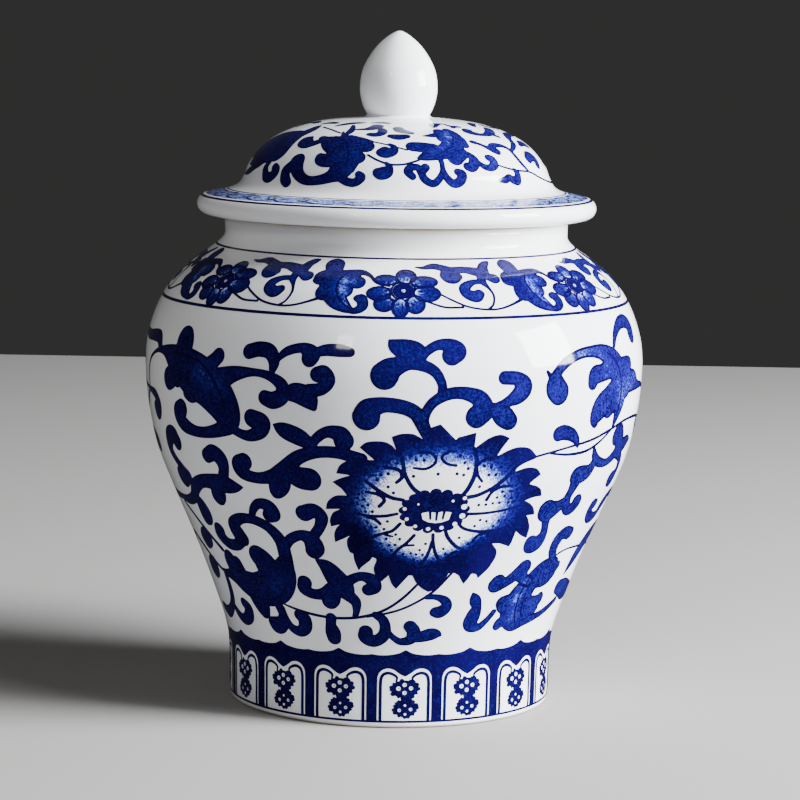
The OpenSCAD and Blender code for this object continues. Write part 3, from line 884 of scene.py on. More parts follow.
# Petals of the small flower: (turn, climb, half width, half height)
SHOULDER_PETALS = [(3.0, 133.0, 2.8, 2.9), (7.6, 131.0, 3.7, 2.2), (8.0, 127.0, 3.5, 2.6),
                   (5.0, 123.8, 2.4, 2.6), (1.4, 122.9, 2.1, 2.7), (-2.5, 123.9, 2.5, 2.3),
                   (-3.9, 126.9, 3.1, 2.3), (-2.3, 131.5, 3.2, 2.1)]
SHOULDER_SPRAY = [
    [(5.7, 137, 0.25), (8, 136.7, 0.7), (11, 137.4, 1.2), (13.6, 136.6, 1.3), (16, 135.6, 1.4),
     (19.5, 135.8, 1.3), (22.5, 135, 1.7), (24.8, 134.4, 1.9)],
    [(14.4, 135, 1.5), (13.9, 133.2, 1.5), (15.3, 132.3, 1.9), (17, 133, 1.3)],
    [(25, 134.5, 1.7), (26, 137, 1.3), (27.2, 138.4, 1.0), (28.4, 139.2, 0.5)],
    [(23.5, 134, 1.3), (25.5, 132.8, 1.1), (27.3, 132, 1.7)],
    [(24, 134, 1.2), (23.6, 131, 1.0), (24.6, 128.6, 0.5), (25.2, 126.2, 0.35),
     (24.4, 123.6, 0.3), (22.8, 122.3, 0.3)],
    [(23.6, 131, 0.8), (20.6, 130.7, 0.9), (18.2, 129, 1.3), (18.2, 127, 1.4), (20.2, 126, 1.6),
     (21.5, 126.8, 1.2)],
    [(11, 127, 0.3), (14, 125, 0.3), (18, 123, 0.3), (23, 122.2, 0.3), (27, 122.6, 0.3),
     (31.4, 124.2, 0.4), (33.2, 125.2, 0.6)],
    [(8, 124.5, 0.3), (12, 123, 0.3), (16.5, 122.9, 0.3)],
]
SHOULDER_LEAF = [
    [(-17.4, 137.2, 2.7), (-17, 134.6, 2.4), (-16.6, 131.5, 3.2), (-15.8, 128, 3.2),
     (-14.2, 124.8, 2.4), (-12, 122.8, 1.4), (-10, 121.6, 0.6)],
    [(-16.5, 133, 2.4), (-19, 132.2, 2.4), (-19.8, 131.4, 2.2)],
    [(-16, 129, 3), (-17.4, 126.8, 2.4), (-18.2, 126, 1.3)],
    [(-15, 132, 2.6), (-12, 133.2, 2.0), (-9, 134.2, 1.0), (-6.6, 133, 0.6),
     (-5.2, 130.8, 0.4)],
    [(-13, 132.5, 2), (-11, 131, 2.2), (-9.8, 130.4, 2.1)],
    [(-14, 129, 2.4), (-12.6, 127.4, 2.0)],
    [(-12, 122.4, 0.8), (-9.4, 121.7, 0.8), (-7.6, 123, 1.1), (-8, 125, 1.2),
     (-9, 125.2, 0.9)],
]
SHOULDER_LEAF_LIGHTS = [(-13.5, 131, 1.6, 0.38), (-13.6, 127.5, 1.8, 0.42), (-11.6, 124, 1.6, 0.34),
                        (-10.6, 131, 1.5, 0.26), (-17.4, 136, 2.0, 0.12)]
SHOULDER_RIBS = [
    [(-13.4, 133.2, 0.2), (-14.8, 130.4, 0.3), (-14.6, 127, 0.3), (-12.8, 124, 0.25),
     (-10.4, 122.2, 0.2)],
]

# ---------------------------------------------------------------- foot band

LAPPETS = 16
LAPPET_CENTRE = 5.6
LAPPET_CLIMBS = (2, 31)
BAND_TOP = [(-5.65, 27.6), (-3.6, 27.3), (-1, 27.3), (1.4, 27.6), (3.4, 28.1), (4.7, 28.8),
            (5.6, 29.2), (6.5, 28.8), (7.8, 28.1), (9.8, 27.6), (12.2, 27.3), (14.8, 27.3),
            (16.85, 27.6)]
BAND_LOW = 3.4
# Right half of the white window, seen from the middle of a lappet
WINDOW_HALF = [(0, 19.7), (0.9, 20.1), (2.2, 20.9), (3.9, 22.1), (6, 22.5), (8, 21.7),
               (9.2, 19.8), (9.4, 17.4), (9.4, 4.2)]
WINDOW_LINE = [(2.9, 18.1, 0.3), (2.7, 19.4, 0.42), (4.1, 20.5, 0.5), (5.9, 20.9, 0.55),
               (7.5, 20.2, 0.56), (8.2, 18.4, 0.56), (8.3, 15, 0.56), (8.3, 9, 0.56),
               (8.3, 4.0, 0.56)]
LAPPET_FLOWERS = [(5.6, 15.3, 4.7, 3.1), (5.9, 8.5, 4.0, 3.1)]
LAPPET_HOLES = [(3.5, 15.5, 0.8), (5.6, 16.8, 0.75), (7.8, 15.6, 0.75), (5.6, 14.0, 0.75),
                (3.9, 7.9, 0.6), (7.8, 8.2, 0.6), (5.9, 6.5, 0.5), (5.8, 9.6, 0.45)]
LAPPET_HOLE_DOTS = 0.25   # radius of the dots in the first six holes
LAPPET_WAIST = (5.7, 12.0, 1.5, 0.9)    # between the two flowers
RAGGED_DOTS = 15          # around each flower, which make its edge ragged

# ---------------------------------------------------------------- lid

BRIM_LINE = (7.3, 0.42)
BORDER = (8.6, 14.8)      # scalloped border on the brim
BORDER_WAVES = 30
BORDER_PIECE = 5          # scallops in one piece
BORDER_LINE = (0.9, 0.26, 0.72)    # gap above the border, half width and tone
BORDER_WASH = 0.40        # tone of the border's ground
LID_WINDOW = (-90, 100, 20, 84)
LID_LEAF_A = [
    [(-30.5, 54.5, 0.5), (-28, 50, 1.2), (-24.5, 45.5, 3.5), (-21.5, 40, 6.0), (-20, 34.5, 5.5),
     (-21.5, 29.5, 4.5), (-25, 26.2, 2.4), (-30, 24.4, 1.7), (-35, 24.2, 1.7),
     (-39, 26.2, 2.2), (-41.5, 29.5, 3.0), (-42.4, 31.8, 3.4)],
    [(-38.6, 47, 1.5), (-35, 45.5, 2.6), (-30, 43.5, 5.5), (-26, 41, 6)],
    [(-20, 42, 5), (-15, 41.5, 3.5), (-13.2, 41, 3.2)],
    [(-24, 47.4, 3.2), (-18, 45.4, 3.2), (-13.4, 44, 2.4)],
    [(-46.4, 43.2, 3.2), (-44.6, 42.4, 3.2)],
    [(-18, 36, 4), (-15.6, 34.6, 2.8)],
    [(-20, 31, 3.5), (-18, 29.5, 2.0)],
    [(-25, 34, 4), (-29, 33, 3.2), (-31.3, 33.3, 2.6), (-32.6, 34.6, 1.5)],
    [(-43.5, 30, 2.6), (-46, 27.6, 2.2), (-45.6, 24.6, 2.2), (-43.6, 22.7, 1.7)],
    [(-36, 45.5, 2.2), (-39.5, 42.5, 2.0), (-43, 40.6, 2.0), (-46.6, 41.6, 2.3),
     (-47.6, 44.3, 2.2), (-45.6, 45.6, 1.9)],
    [(-21, 25.6, 1.4), (-18.3, 24.3, 1.4), (-15.4, 24.1, 1.5), (-13.3, 26, 1.6),
     (-14.3, 27.3, 1.2)],
]
LID_LEFT = [
    [(-56, 60, 2.5), (-54.8, 54, 4), (-56.5, 47.5, 4.2), (-57.5, 41, 5.5), (-57, 36, 5.2)],
    [(-60, 40, 5), (-66, 33, 4.5), (-71, 28.5, 2.5), (-76, 25.6, 1.4), (-83, 24.4, 0.5)],
    [(-58, 48, 5), (-65, 45, 7), (-73, 42, 7.5), (-80, 38, 6), (-87, 34, 3)],
    [(-62, 36, 6), (-70, 34, 5.5), (-78, 31, 3)],
    [(-59, 31, 1.4), (-59.6, 27.6, 1.6), (-57.4, 24.6, 1.8), (-54.2, 24.4, 2.0),
     (-52, 26.9, 2.0), (-53.6, 28.5, 1.5)],
]
LID_CURLS = [
    [(-3.6, 43.2, 0.8), (-1.6, 41.2, 1.3), (-1.6, 38.4, 1.7), (-4.2, 36.8, 1.9),
     (-6.6, 37.8, 2.1), (-6.2, 39, 1.7)],
    [(-4.3, 32.3, 0.7), (-3, 30.4, 1.2), (-3.4, 28, 1.6), (-5.8, 27.2, 1.7), (-7.4, 28.2, 1.6),
     (-6.8, 29, 1.1)],
    [(-27, 50.5, 0.5), (-20, 48.2, 0.5), (-13, 45.6, 0.5), (-6, 43.3, 0.5), (0, 41, 0.5),
     (4, 39.5, 0.5)],
    [(-12, 36.2, 0.5), (-8, 33.7, 0.5), (-3, 31.8, 0.5), (2, 31.8, 0.5), (6, 33, 0.5),
     (8.5, 34, 0.5)],
    [(-9.6, 60, 2), (-8.4, 56.8, 2.6), (-9.2, 53.4, 2.6), (-11.8, 52, 2.3), (-14.6, 52.4, 1.7)],
    [(-24, 58.6, 1.0), (-19, 59.8, 1.8), (-15.4, 62, 3.6), (-13.6, 65.4, 4.4), (-14.6, 68, 3)],
    [(-3.2, 50.8, 2.0), (0.4, 50, 2.9), (4, 50.8, 2.2)],
    [(0, 62.4, 3.0), (1.2, 58.8, 3.0), (4.6, 56.4, 2.3), (7.4, 55, 1.4)],
    [(-5.4, 38.9, 2.4), (-4.4, 38.4, 2.4)],
    [(-5.4, 28.7, 1.9), (-4.6, 28.7, 1.9)],
    [(36.8, 45.4, 1.4), (38.2, 44.6, 1.4)],
    [(-50, 60, 0.7), (-41, 57, 0.6), (-31, 52.6, 0.6)],
    [(-27.6, 50, 1.4), (-26.6, 55, 2.0), (-28, 61, 1.6), (-31, 67, 0.8)],
]
LID_LEAF_B = [
    [(30, 60, 2.5), (29.5, 54, 4.3), (28, 48.5, 5.2), (25, 43, 5), (21, 39.5, 4.3),
     (16, 37.6, 3.4), (11.5, 36, 2.2), (8.8, 34.9, 0.9)],
    [(24, 58, 3.5), (23.5, 53, 4.2), (23, 48.5, 3.6)],
    [(20, 52.5, 2.6), (16.5, 51.8, 1.6), (12.8, 51.4, 0.5)],
    [(15, 41, 3.2), (9.5, 41.8, 3.4), (6.8, 42, 3.2)],
    [(26, 38, 4.2), (23.6, 35, 3.3)],
    [(31, 48, 3), (31, 43, 2.2)],
    [(7.6, 30.8, 1.2), (5.2, 30.6, 1.5), (4, 28.8, 1.5), (5.6, 26.8, 1.2)],
    [(7.6, 30.8, 1.1), (8.8, 28.6, 1.3), (10, 25.9, 1.3), (12.8, 24.2, 1.3), (15.2, 25.6, 1.2),
     (17, 28.6, 1.0), (17.4, 31.6, 0.9), (17.2, 34, 1.0)],
    [(9.6, 29.6, 1.7), (10.6, 30.6, 1.6)],
    [(17.4, 30, 0.8), (18.3, 26.6, 1.2), (20.8, 24.2, 1.5), (23.6, 25.2, 1.7),
     (24.6, 27.6, 1.8), (23, 28.7, 1.3)],
    [(28.6, 39, 0.8), (31, 36, 1.6), (31.6, 33.2, 2.2), (29.6, 30.8, 2.1), (27.8, 31, 1.7)],
    [(33, 33.4, 0.9), (35, 31, 1.2), (38, 30.3, 1.4), (40.6, 31.8, 1.9), (40.6, 34.2, 2.0),
     (39, 35, 1.4)],
]
LID_RIGHT = [
    [(41, 25, 0.7), (43.6, 25.2, 1.2), (46, 26, 1.3), (48, 25, 1.5), (50.4, 25, 1.8),
     (51.4, 27.4, 1.5), (50.2, 29, 0.8)],
    [(41.5, 31.6, 0.45), (47, 29.8, 0.45), (53, 28.6, 0.45), (60, 27.8, 0.45),
     (68, 25.2, 0.45), (78, 23, 0.45), (88, 22.5, 0.45), (97, 24.4, 0.45)],
    [(37, 44.6, 0.8), (39.5, 43.6, 1.0), (42.4, 41, 1.2), (44.8, 39.2, 1.8), (46.4, 38, 1.6)],
    [(44.5, 40.5, 1.6), (47, 42.2, 1.7), (50.5, 42.4, 1.5), (54, 41.2, 1.2), (56, 38.6, 1.0),
     (56.4, 34.6, 1.0), (57.4, 31.4, 0.9), (59.4, 28.4, 0.7)],
    [(46, 39, 2.1), (46.6, 38.6, 1.9)],
    [(56.6, 38.4, 0.8), (61, 40.4, 1.1), (65.5, 43.2, 1.5), (69, 47.4, 1.9), (76, 50.4, 2.3),
     (86, 50, 2.2)],
    [(65, 33.4, 1.9), (69, 34.8, 2.6), (73, 33.4, 2.4), (71, 30.4, 1.8)],
    [(70, 41, 0.8), (75, 42.4, 2.0), (81, 41, 2.4)],
    [(44.4, 59, 3.2), (42.8, 56.6, 3.0), (45.4, 54.2, 2.7), (49, 52.4, 1.7), (53, 52.2, 1.9),
     (58, 53.6, 2.6), (63, 56.2, 3.0), (69, 60, 2.8)],
    [(58, 52.4, 2.0), (60.4, 49.8, 1.6)],
    [(36.6, 73, 0.8), (37.8, 68.6, 2.1), (40.6, 66.4, 1.6)],
]
LID_TOP = [
    [(-42, 64, 1.4), (-39, 68, 2.8), (-34, 73, 3.2), (-27, 75, 2.0)],
    [(-20, 76, 1.6), (-14, 78, 3.4), (-8, 76, 2.4)],
    [(24, 66, 1.6), (26, 71, 3.4), (31, 75, 3.0), (37, 74, 1.6)],
    [(37, 64, 1.2), (39.6, 66.6, 2.4), (43, 66, 2.0)],
    [(60, 66, 1.6), (66, 71, 3.2), (74, 73, 2.4)],
    [(84, 58, 1.4), (89, 62, 2.8), (95, 61, 2.4), (97, 57, 1.4)],
    [(84, 30, 0.8), (88, 34, 2.0), (93, 35.4, 2.4), (96, 32.4, 1.6)],
    [(80, 60, 1.4), (77, 64, 2.6), (80, 68, 2.0)],
    [(-84, 64, 2.4), (-78, 68, 3.4), (-70, 67, 2.2)],
    [(-60, 66, 1.4), (-55, 70, 3.0), (-48, 70, 2.0)],
]
LID_SCROLL = {"leaf_a": LID_LEAF_A, "left": LID_LEFT, "curls": LID_CURLS, "leaf_b": LID_LEAF_B,
              "right": LID_RIGHT, "top": LID_TOP}
LID_LIGHTS = [(14, 37.8, 2, 0.16), (19, 41, 2.4, 0.20), (23, 45, 2.8, 0.24),
              (25.6, 50.5, 3, 0.26), (27, 56, 3.4, 0.26), (-24, 36, 4, 0.08),
              (-57, 42, 4, 0.08), (-75, 40, 8, 0.16), (64, 55, 5, 0.16), (42, 33, 4, 0.10)]
LID_RIBS = [
    [(10, 34.6, 0.2), (15, 36.4, 0.3), (20, 38.8, 0.35), (24.6, 42.8, 0.35), (27.4, 47.6, 0.35),
     (29, 53, 0.3), (29.4, 58, 0.2)],
    [(-27.4, 48, 0.2), (-23, 42, 0.35), (-20, 36, 0.35), (-21, 30.5, 0.3), (-25, 27, 0.2)],
]


# ---------------------------------------------------------------- materials

def node_material(name):
    """A material, its node tree and its shader."""
    material = bpy.data.materials.new(name)
    material.use_nodes = True
    tree = material.node_tree
    return material, tree, tree.nodes["Principled BSDF"]


def add(tree, kind, inputs=(), **settings):
    """A node with its settings and its input values or links."""
    node = tree.nodes.new(kind)
    for key, value in settings.items():
        setattr(node, key, value)
    for key, value in dict(inputs).items():
        if isinstance(value, bpy.types.NodeSocket):
            tree.links.new(value, node.inputs[key])
        else:
            node.inputs[key].default_value = value
    return node


def place_of(tree):
    """The piece's own coordinates."""
    return add(tree, "ShaderNodeTexCoord").outputs["Object"]


def noise(tree, place, scale, detail, rough=0.5):
    """Noise from 0 to 1."""
    made = add(tree, "ShaderNodeTexNoise",
               {"Vector": place, "Scale": scale, "Detail": detail, "Roughness": rough})
    return made.outputs["Fac"]


def spread(tree, value, low, high, to_low=0.0, to_high=1.0, kind="LINEAR"):
    """A value's range from low to high stretched over another, and held beyond it."""
    made = add(tree, "ShaderNodeMapRange", {0: value, 1: low, 2: high, 3: to_low, 4: to_high},
               interpolation_type=kind)
    return made.outputs[0]


def math_node(tree, operation, a, b):
    """The result of one operation."""
    return add(tree, "ShaderNodeMath", {0: a, 1: b}, operation=operation).outputs[0]


def mix_colour(tree, amount, a, b):
    """Colour a, with as much of colour b as the amount says."""
    made = add(tree, "ShaderNodeMix", {0: amount, 6: a, 7: b}, data_type="RGBA")
    return made.outputs[2]


# Noise and cell scales are per metre; colours are linear
GLAZE_WAVES = 38.0
GLAZE_WAVE_HEIGHT = 0.30 * MM
GLAZE_PEEL = 420.0
GLAZE_PEEL_HEIGHT = 0.02 * MM
TINTS, POOLS, IRON_CELLS, IRON_AREAS = 22.0, 9.0, 95.0, 31.0
COBALT_PATCHES, COBALT_DRIFT = 260.0, 60.0
SAND, STAINS = 900.0, 70.0
GLOSS = 0.07
GLAZE_SPECULAR = 0.24
WHITE = (0.81, 0.84, 0.89, 1)
WHITE_POOLED = (0.72, 0.78, 0.87, 1)
WHITE_WARM = (0.84, 0.85, 0.86, 1)
IRON_SPOT = (0.36, 0.26, 0.17, 1)
DEEP_COBALT = (0.0022, 0.0002, 0.020, 1)
COBALT = (0.0050, 0.0004, 0.050, 1)
WASH_COBALT = (0.011, 0.011, 0.180, 1)
FAINT_COBALT = (0.130, 0.220, 0.620, 1)
GRAIN = 1500.0            # grains of pigment
STIPPLE = 760.0           # dots of the halftone
# Load of pigment at which each depth of blue starts, and at which it is full
HAZE_LOAD, WASH_LOAD, BODY_LOAD = (0.04, 0.36), (0.26, 0.58), (0.50, 0.92)
BISCUIT_ROUGHNESS = 0.78
BISCUIT = (0.70, 0.66, 0.59, 1)
BISCUIT_DARK = (0.50, 0.44, 0.37, 1)


def glaze_bump(tree, place, shader):
    """The slow waves and the fine orange peel of a fired glaze."""
    slow = noise(tree, place, GLAZE_WAVES, 1.5)
    fine = noise(tree, place, GLAZE_PEEL, 2.0)
    first = add(tree, "ShaderNodeBump",
                {"Height": slow, "Strength": 0.35, "Distance": GLAZE_WAVE_HEIGHT})
    second = add(tree, "ShaderNodeBump",
                 {"Height": fine, "Strength": 0.25, "Distance": GLAZE_PEEL_HEIGHT,
                  "Normal": first.outputs[0]})
    tree.links.new(second.outputs[0], shader.inputs["Normal"])


def white_colour(tree, place):
    """White glaze: a little warmer or cooler from place to place, with a rare iron spot."""
    drift = spread(tree, noise(tree, place, TINTS, 2.0), 0.35, 0.65)
    tint = mix_colour(tree, drift, WHITE, WHITE_WARM)
    pool = spread(tree, noise(tree, place, POOLS, 3.0), 0.55, 0.80, 0.0, 0.35)
    tint = mix_colour(tree, pool, tint, WHITE_POOLED)
    spots = add(tree, "ShaderNodeTexVoronoi", {"Vector": place, "Scale": IRON_CELLS})
    size = spread(tree, noise(tree, place, IRON_AREAS, 0.0), 0.62, 0.74, -0.01, 0.022)
    spot = math_node(tree, "LESS_THAN", spots.outputs["Distance"], size)
    spot = math_node(tree, "MULTIPLY", spot, 0.55)
    return mix_colour(tree, spot, tint, IRON_SPOT)


def white_glaze(name):
    """Glossy white glaze over porcelain."""
    material, tree, shader = node_material(name)
    place = place_of(tree)
    tree.links.new(white_colour(tree, place), shader.inputs["Base Color"])
    shader.inputs["Roughness"].default_value = GLOSS
    shader.inputs["Specular IOR Level"].default_value = GLAZE_SPECULAR
    glaze_bump(tree, place, shader)
    return material


def cobalt_glaze(name):
    """Cobalt under the glaze: grains of pigment that crowd together where the tone is deep."""
    material, tree, shader = node_material(name)
    place = place_of(tree)
    tone = add(tree, "ShaderNodeAttribute", attribute_name="tone").outputs["Fac"]
    patchy = spread(tree, noise(tree, place, COBALT_PATCHES, 3.0, 0.6), 0.3, 0.7, -0.06, 0.06)
    grains = add(tree, "ShaderNodeTexVoronoi", {"Vector": place, "Scale": GRAIN})
    speck = spread(tree, grains.outputs["Distance"], 0.10, 0.75, 0.13, -0.17)
    load = math_node(tree, "ADD", math_node(tree, "ADD", tone, patchy), speck)
    pricks = add(tree, "ShaderNodeTexVoronoi", {"Vector": place, "Scale": STIPPLE})
    prick = spread(tree, pricks.outputs["Distance"], 0.24, 0.36, 0.20, 0.0)
    prick = math_node(tree, "MULTIPLY", prick, spread(tree, tone, 0.35, 0.60))
    load = math_node(tree, "ADD", load, prick)
    drift = spread(tree, noise(tree, place, COBALT_DRIFT, 4.0, 0.6), 0.30, 0.70)
    body = mix_colour(tree, drift, COBALT, DEEP_COBALT)
    haze = spread(tree, load, *HAZE_LOAD, 0.0, 1.0, "SMOOTHSTEP")
    under = mix_colour(tree, haze, white_colour(tree, place), FAINT_COBALT)
    wash = mix_colour(tree, spread(tree, load, *WASH_LOAD), under, WASH_COBALT)
    colour = mix_colour(tree, spread(tree, load, *BODY_LOAD), wash, body)
    tree.links.new(colour, shader.inputs["Base Color"])
    shader.inputs["Roughness"].default_value = GLOSS
    shader.inputs["Specular IOR Level"].default_value = GLAZE_SPECULAR
    glaze_bump(tree, place, shader)
    return material


def biscuit(name):
    """Bare fired porcelain: matt, warm and finely sanded."""
    material, tree, shader = node_material(name)
    place = place_of(tree)
    grain = noise(tree, place, SAND, 4.0, 0.7)
    stain = spread(tree, noise(tree, place, STAINS, 3.0), 0.45, 0.75)
    base = mix_colour(tree, spread(tree, grain, 0.3, 0.7, 0.0, 0.35), BISCUIT, BISCUIT_DARK)
    colour = mix_colour(tree, math_node(tree, "MULTIPLY", stain, 0.45), base, BISCUIT_DARK)
    tree.links.new(colour, shader.inputs["Base Color"])
    shader.inputs["Roughness"].default_value = BISCUIT_ROUGHNESS
    bump = add(tree, "ShaderNodeBump", {"Height": grain, "Strength": 0.5, "Distance": 0.05 * MM})
    tree.links.new(bump.outputs[0], shader.inputs["Normal"])
    return material


def plain(name, colour, roughness):
    """A material of one colour."""
    material, _, shader = node_material(name)
    shader.inputs["Base Color"].default_value = colour
    shader.inputs["Roughness"].default_value = roughness
    return material


# ---------------------------------------------------------------- porcelain

FOOT_CORNER = (49.9 * MM, 0.0)        # where the climb of the jar's outside starts
BRIM_CORNER = (61.0 * MM, 155.45 * MM)    # where the climb of the lid's top starts
# Bare clay: foot and mouth outside a radius and below or above a height, and the underside
# of the brim between two radii and below a height
FOOT_BARE = (40.0 * MM, 1.1 * MM)
MOUTH_BARE = (49.5 * MM, 154.2 * MM)
BRIM_BARE = (49.0 * MM, 58.5 * MM, 155.6 * MM)
FILLET = (9.0 * MM, 11.4 * MM, 1.5 * MM)    # inner and outer radius and height
FILLET_HOLLOW = 2.6                         # the greater, the hollower its curve
FILLET_SUNK = 0.4 * MM                      # depth of its underside in the dome


def white_piece(surface, name, material):
    """The glazed porcelain body in place of its CAD node."""
    points = surface.points - GLAZE_INSET * surface.normals
    if not surface.closed:
        points[[0, -1], 0] = 0
    piece = turned_mesh(name, points, surface.closed)
    piece.data.materials.append(material)
    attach(piece, surface.body)
    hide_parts(surface.node)
    return piece


def bare_ring(surface, name, chosen, material, top=0.01 * MM, low=0.40 * MM):
    """A band of unglazed porcelain over the part of an outline that is chosen."""
    ids = np.flatnonzero(chosen(surface.points[:, 0], surface.points[:, 1]))
    points, normals = surface.points[ids], surface.normals[ids]
    loop = np.vstack([points - top * normals, (points - low * normals)[::-1]])
    piece = turned_mesh(name, loop, True)
    sharp_ends(piece)
    piece.data.materials.append(material)
    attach(piece, surface.body)
    return piece


def luting_fillet(lid, white):
    """The glaze that has pooled where the bud is luted to the dome."""
    inner, outer, rise = FILLET
    r = np.linspace(outer, inner + 0.5 * MM, 9)
    t = (outer - r) / (outer - r[-1])
    dome = np.interp(r, lid.side[::-1, 0], lid.side[::-1, 1])
    top = np.stack([r, dome + rise * t**FILLET_HOLLOW - GLAZE_INSET], 1)
    low = [(inner, dome[-1] - FILLET_SUNK), (outer, dome[0] - FILLET_SUNK)]
    piece = turned_mesh("finial_fillet", np.vstack([top, low]), True)
    sharp_ends(piece)
    piece.data.materials.append(white)
    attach(piece, "lid")


def sharp_ends(piece):
    """Flat shading across the narrow ends of a thin band."""
    piece.data.set_sharp_from_angle(angle=math.radians(SHARP_EDGE))


def build_porcelain(jar, lid, collar, finial, white, bare):
    """The white bodies, the fillet under the bud and the bare rings."""
    white_piece(jar, "jar_glaze", white)
    white_piece(lid, "lid_glaze", white)
    white_piece(collar, "collar_glaze", white)
    white_piece(finial, "finial_glaze", white)
    luting_fillet(lid, white)
    out, top = FOOT_BARE
    bare_ring(jar, "foot_biscuit", lambda r, z: (z < top) & (r > out), bare)
    out, low = MOUTH_BARE
    bare_ring(jar, "mouth_biscuit", lambda r, z: (z > low) & (r > out), bare)
    near, far, top = BRIM_BARE
    bare_ring(lid, "brim_biscuit", lambda r, z: (z < top) & (r > near) & (r < far), bare)


# ---------------------------------------------------------------- painting

MAIN_WINDOW = (-88, 110, 28, 120)
HALF_TURNS = (0.15, 180.15)    # turns of the front painting and of its copy on the back
SWELL = 0.22                   # how much the broad strokes are fattened


def lotus_outline():
    """The lotus outline, smooth along each side of each petal."""
    out = []
    for tip, petal in LOTUS_PETALS:
        for side in (petal[:tip + 1], petal[tip:]):
            if len(side) > 1:
                out += [tuple(p) for p in smooth(side, 4)[:-1]]
        out.append(petal[-1])
    return out


def lotus_tone(x, y):
    """White at the heart of the flower and solid blue at the petal tips."""
    side, up, down = LOTUS_HALO
    dx, dy = x - LOTUS_CENTRE[0], y - LOTUS_CENTRE[1]
    rho = np.hypot(dx / side, dy / np.where(dy > 0, up, down))
    t = np.clip((rho - LOTUS_FADE[0]) / (LOTUS_FADE[1] - LOTUS_FADE[0]), 0, 1)
    tone = t * t * (3 - 2 * t)
    for a, c, r, strength in LOTUS_DARKS:
        tone = tone + strength * np.exp(-((x - a)**2 + (y - c)**2) / r**2)
    return np.clip(tone, 0.0, 1.0)


def paint_lotus(jar, ink):
    """The lotus: its washed petals, then the veins, the dots and the heart over them."""
    field = Field(*LOTUS_WINDOW)
    outline = lotus_outline()
    field.fill(outline)
    paint_group("lotus_petals", jar, field, lotus_tone, ink, HALF_TURNS, True, LOTUS_SKIN)
    veins = Field(*LOTUS_WINDOW)
    for vein in LOTUS_VEINS:
        veins.stroke([(x, y, LOTUS_VEIN_SWELL * w) for x, y, w in vein])
    hx, hy, rx, ry = LOTUS_HEART
    veins.fill(ellipse(hx, hy, rx, ry))
    for k in range(LOTUS_SCALLOPS):
        a = math.tau * (k + 0.3) / LOTUS_SCALLOPS
        x, y = hx + rx * math.cos(a), hy + ry * math.sin(a)
        veins.fill(ellipse(x, y, *LOTUS_SCALLOP, 0, 20))
    for x, y, r in LOTUS_PEARLS:
        veins.fill(ellipse(x, y, r, r, 0, 18), -1)
    veins.fill(LOTUS_SEEDS, -1)
    for line in LOTUS_SEED_LINES:
        veins.stroke(line)
    paint_group("lotus_lines", jar, veins, even_tone(0.98), ink, HALF_TURNS, False, LINE_SKIN)
    paint_dots(jar, ink, field, veins)
    return outline


def paint_dots(jar, ink, field, veins):
    """Dots on the pale petals, clear of the lines and crowding outwards."""
    hx, hy = LOTUS_HEART[:2]
    dots = Field(*LOTUS_WINDOW)
    rng = random.Random(11)
    for row in range(DOT_ROWS):
        for col in range(DOT_COLUMNS):
            x = DOTS_FROM[0] + (col + 0.5 * (row % 2)) * DOT_SPACING
            x += rng.uniform(-DOT_JITTER, DOT_JITTER)
            y = DOTS_FROM[1] + row * DOT_SPACING * DOT_ROW
            y += rng.uniform(-DOT_JITTER, DOT_JITTER)
            tone = float(lotus_tone(np.array([x]), np.array([y]))[0])
            rho = math.hypot((x - hx) / DOT_HOLLOW[0], (y - hy) / DOT_HOLLOW[1])
            clear = float(veins.at(x, y)) > DOT_CLEAR[0] and float(field.at(x, y)) < -DOT_CLEAR[1]
            chance = DOT_CHANCE[0] + DOT_CHANCE[1] * (rho - 1.0)
            if clear and rho > 1.0 and tone < DOT_DARKEST and rng.random() < chance:
                dots.fill(ellipse(x, y, DOT_RADIUS, DOT_RADIUS, 0, 12))
    paint_group("lotus_dots", jar, dots, even_tone(0.98), ink, HALF_TURNS, False, LINE_SKIN)


def paint_scroll(jar, ink, lotus):
    """The scroll of leaves and curls that repeats twice around the belly."""
    flower = Field(*MAIN_WINDOW)
    flower.fill(lotus)
    taken = Field(*MAIN_WINDOW)
    # The last figure is painted light: the washed leaves grow lighter toward the lit right side
    tone = wash_and_painted_light_tone(SCROLL_LIGHTS, 0.91, 0.05)
    for name, strokes in SCROLL.items():
        field = field_of(MAIN_WINDOW, strokes, SWELL)
        field.keep_off(flower, -0.3)
        field.keep_off(taken, -0.02)
        taken.d = np.minimum(taken.d, field.d)
        paint_group("scroll_" + name, jar, field, tone, ink, HALF_TURNS, True)
    ribs = field_of(MAIN_WINDOW, SCROLL_RIBS)
    paint_group("scroll_ribs", jar, ribs, even_tone(), ink, HALF_TURNS, False, LINE_SKIN)


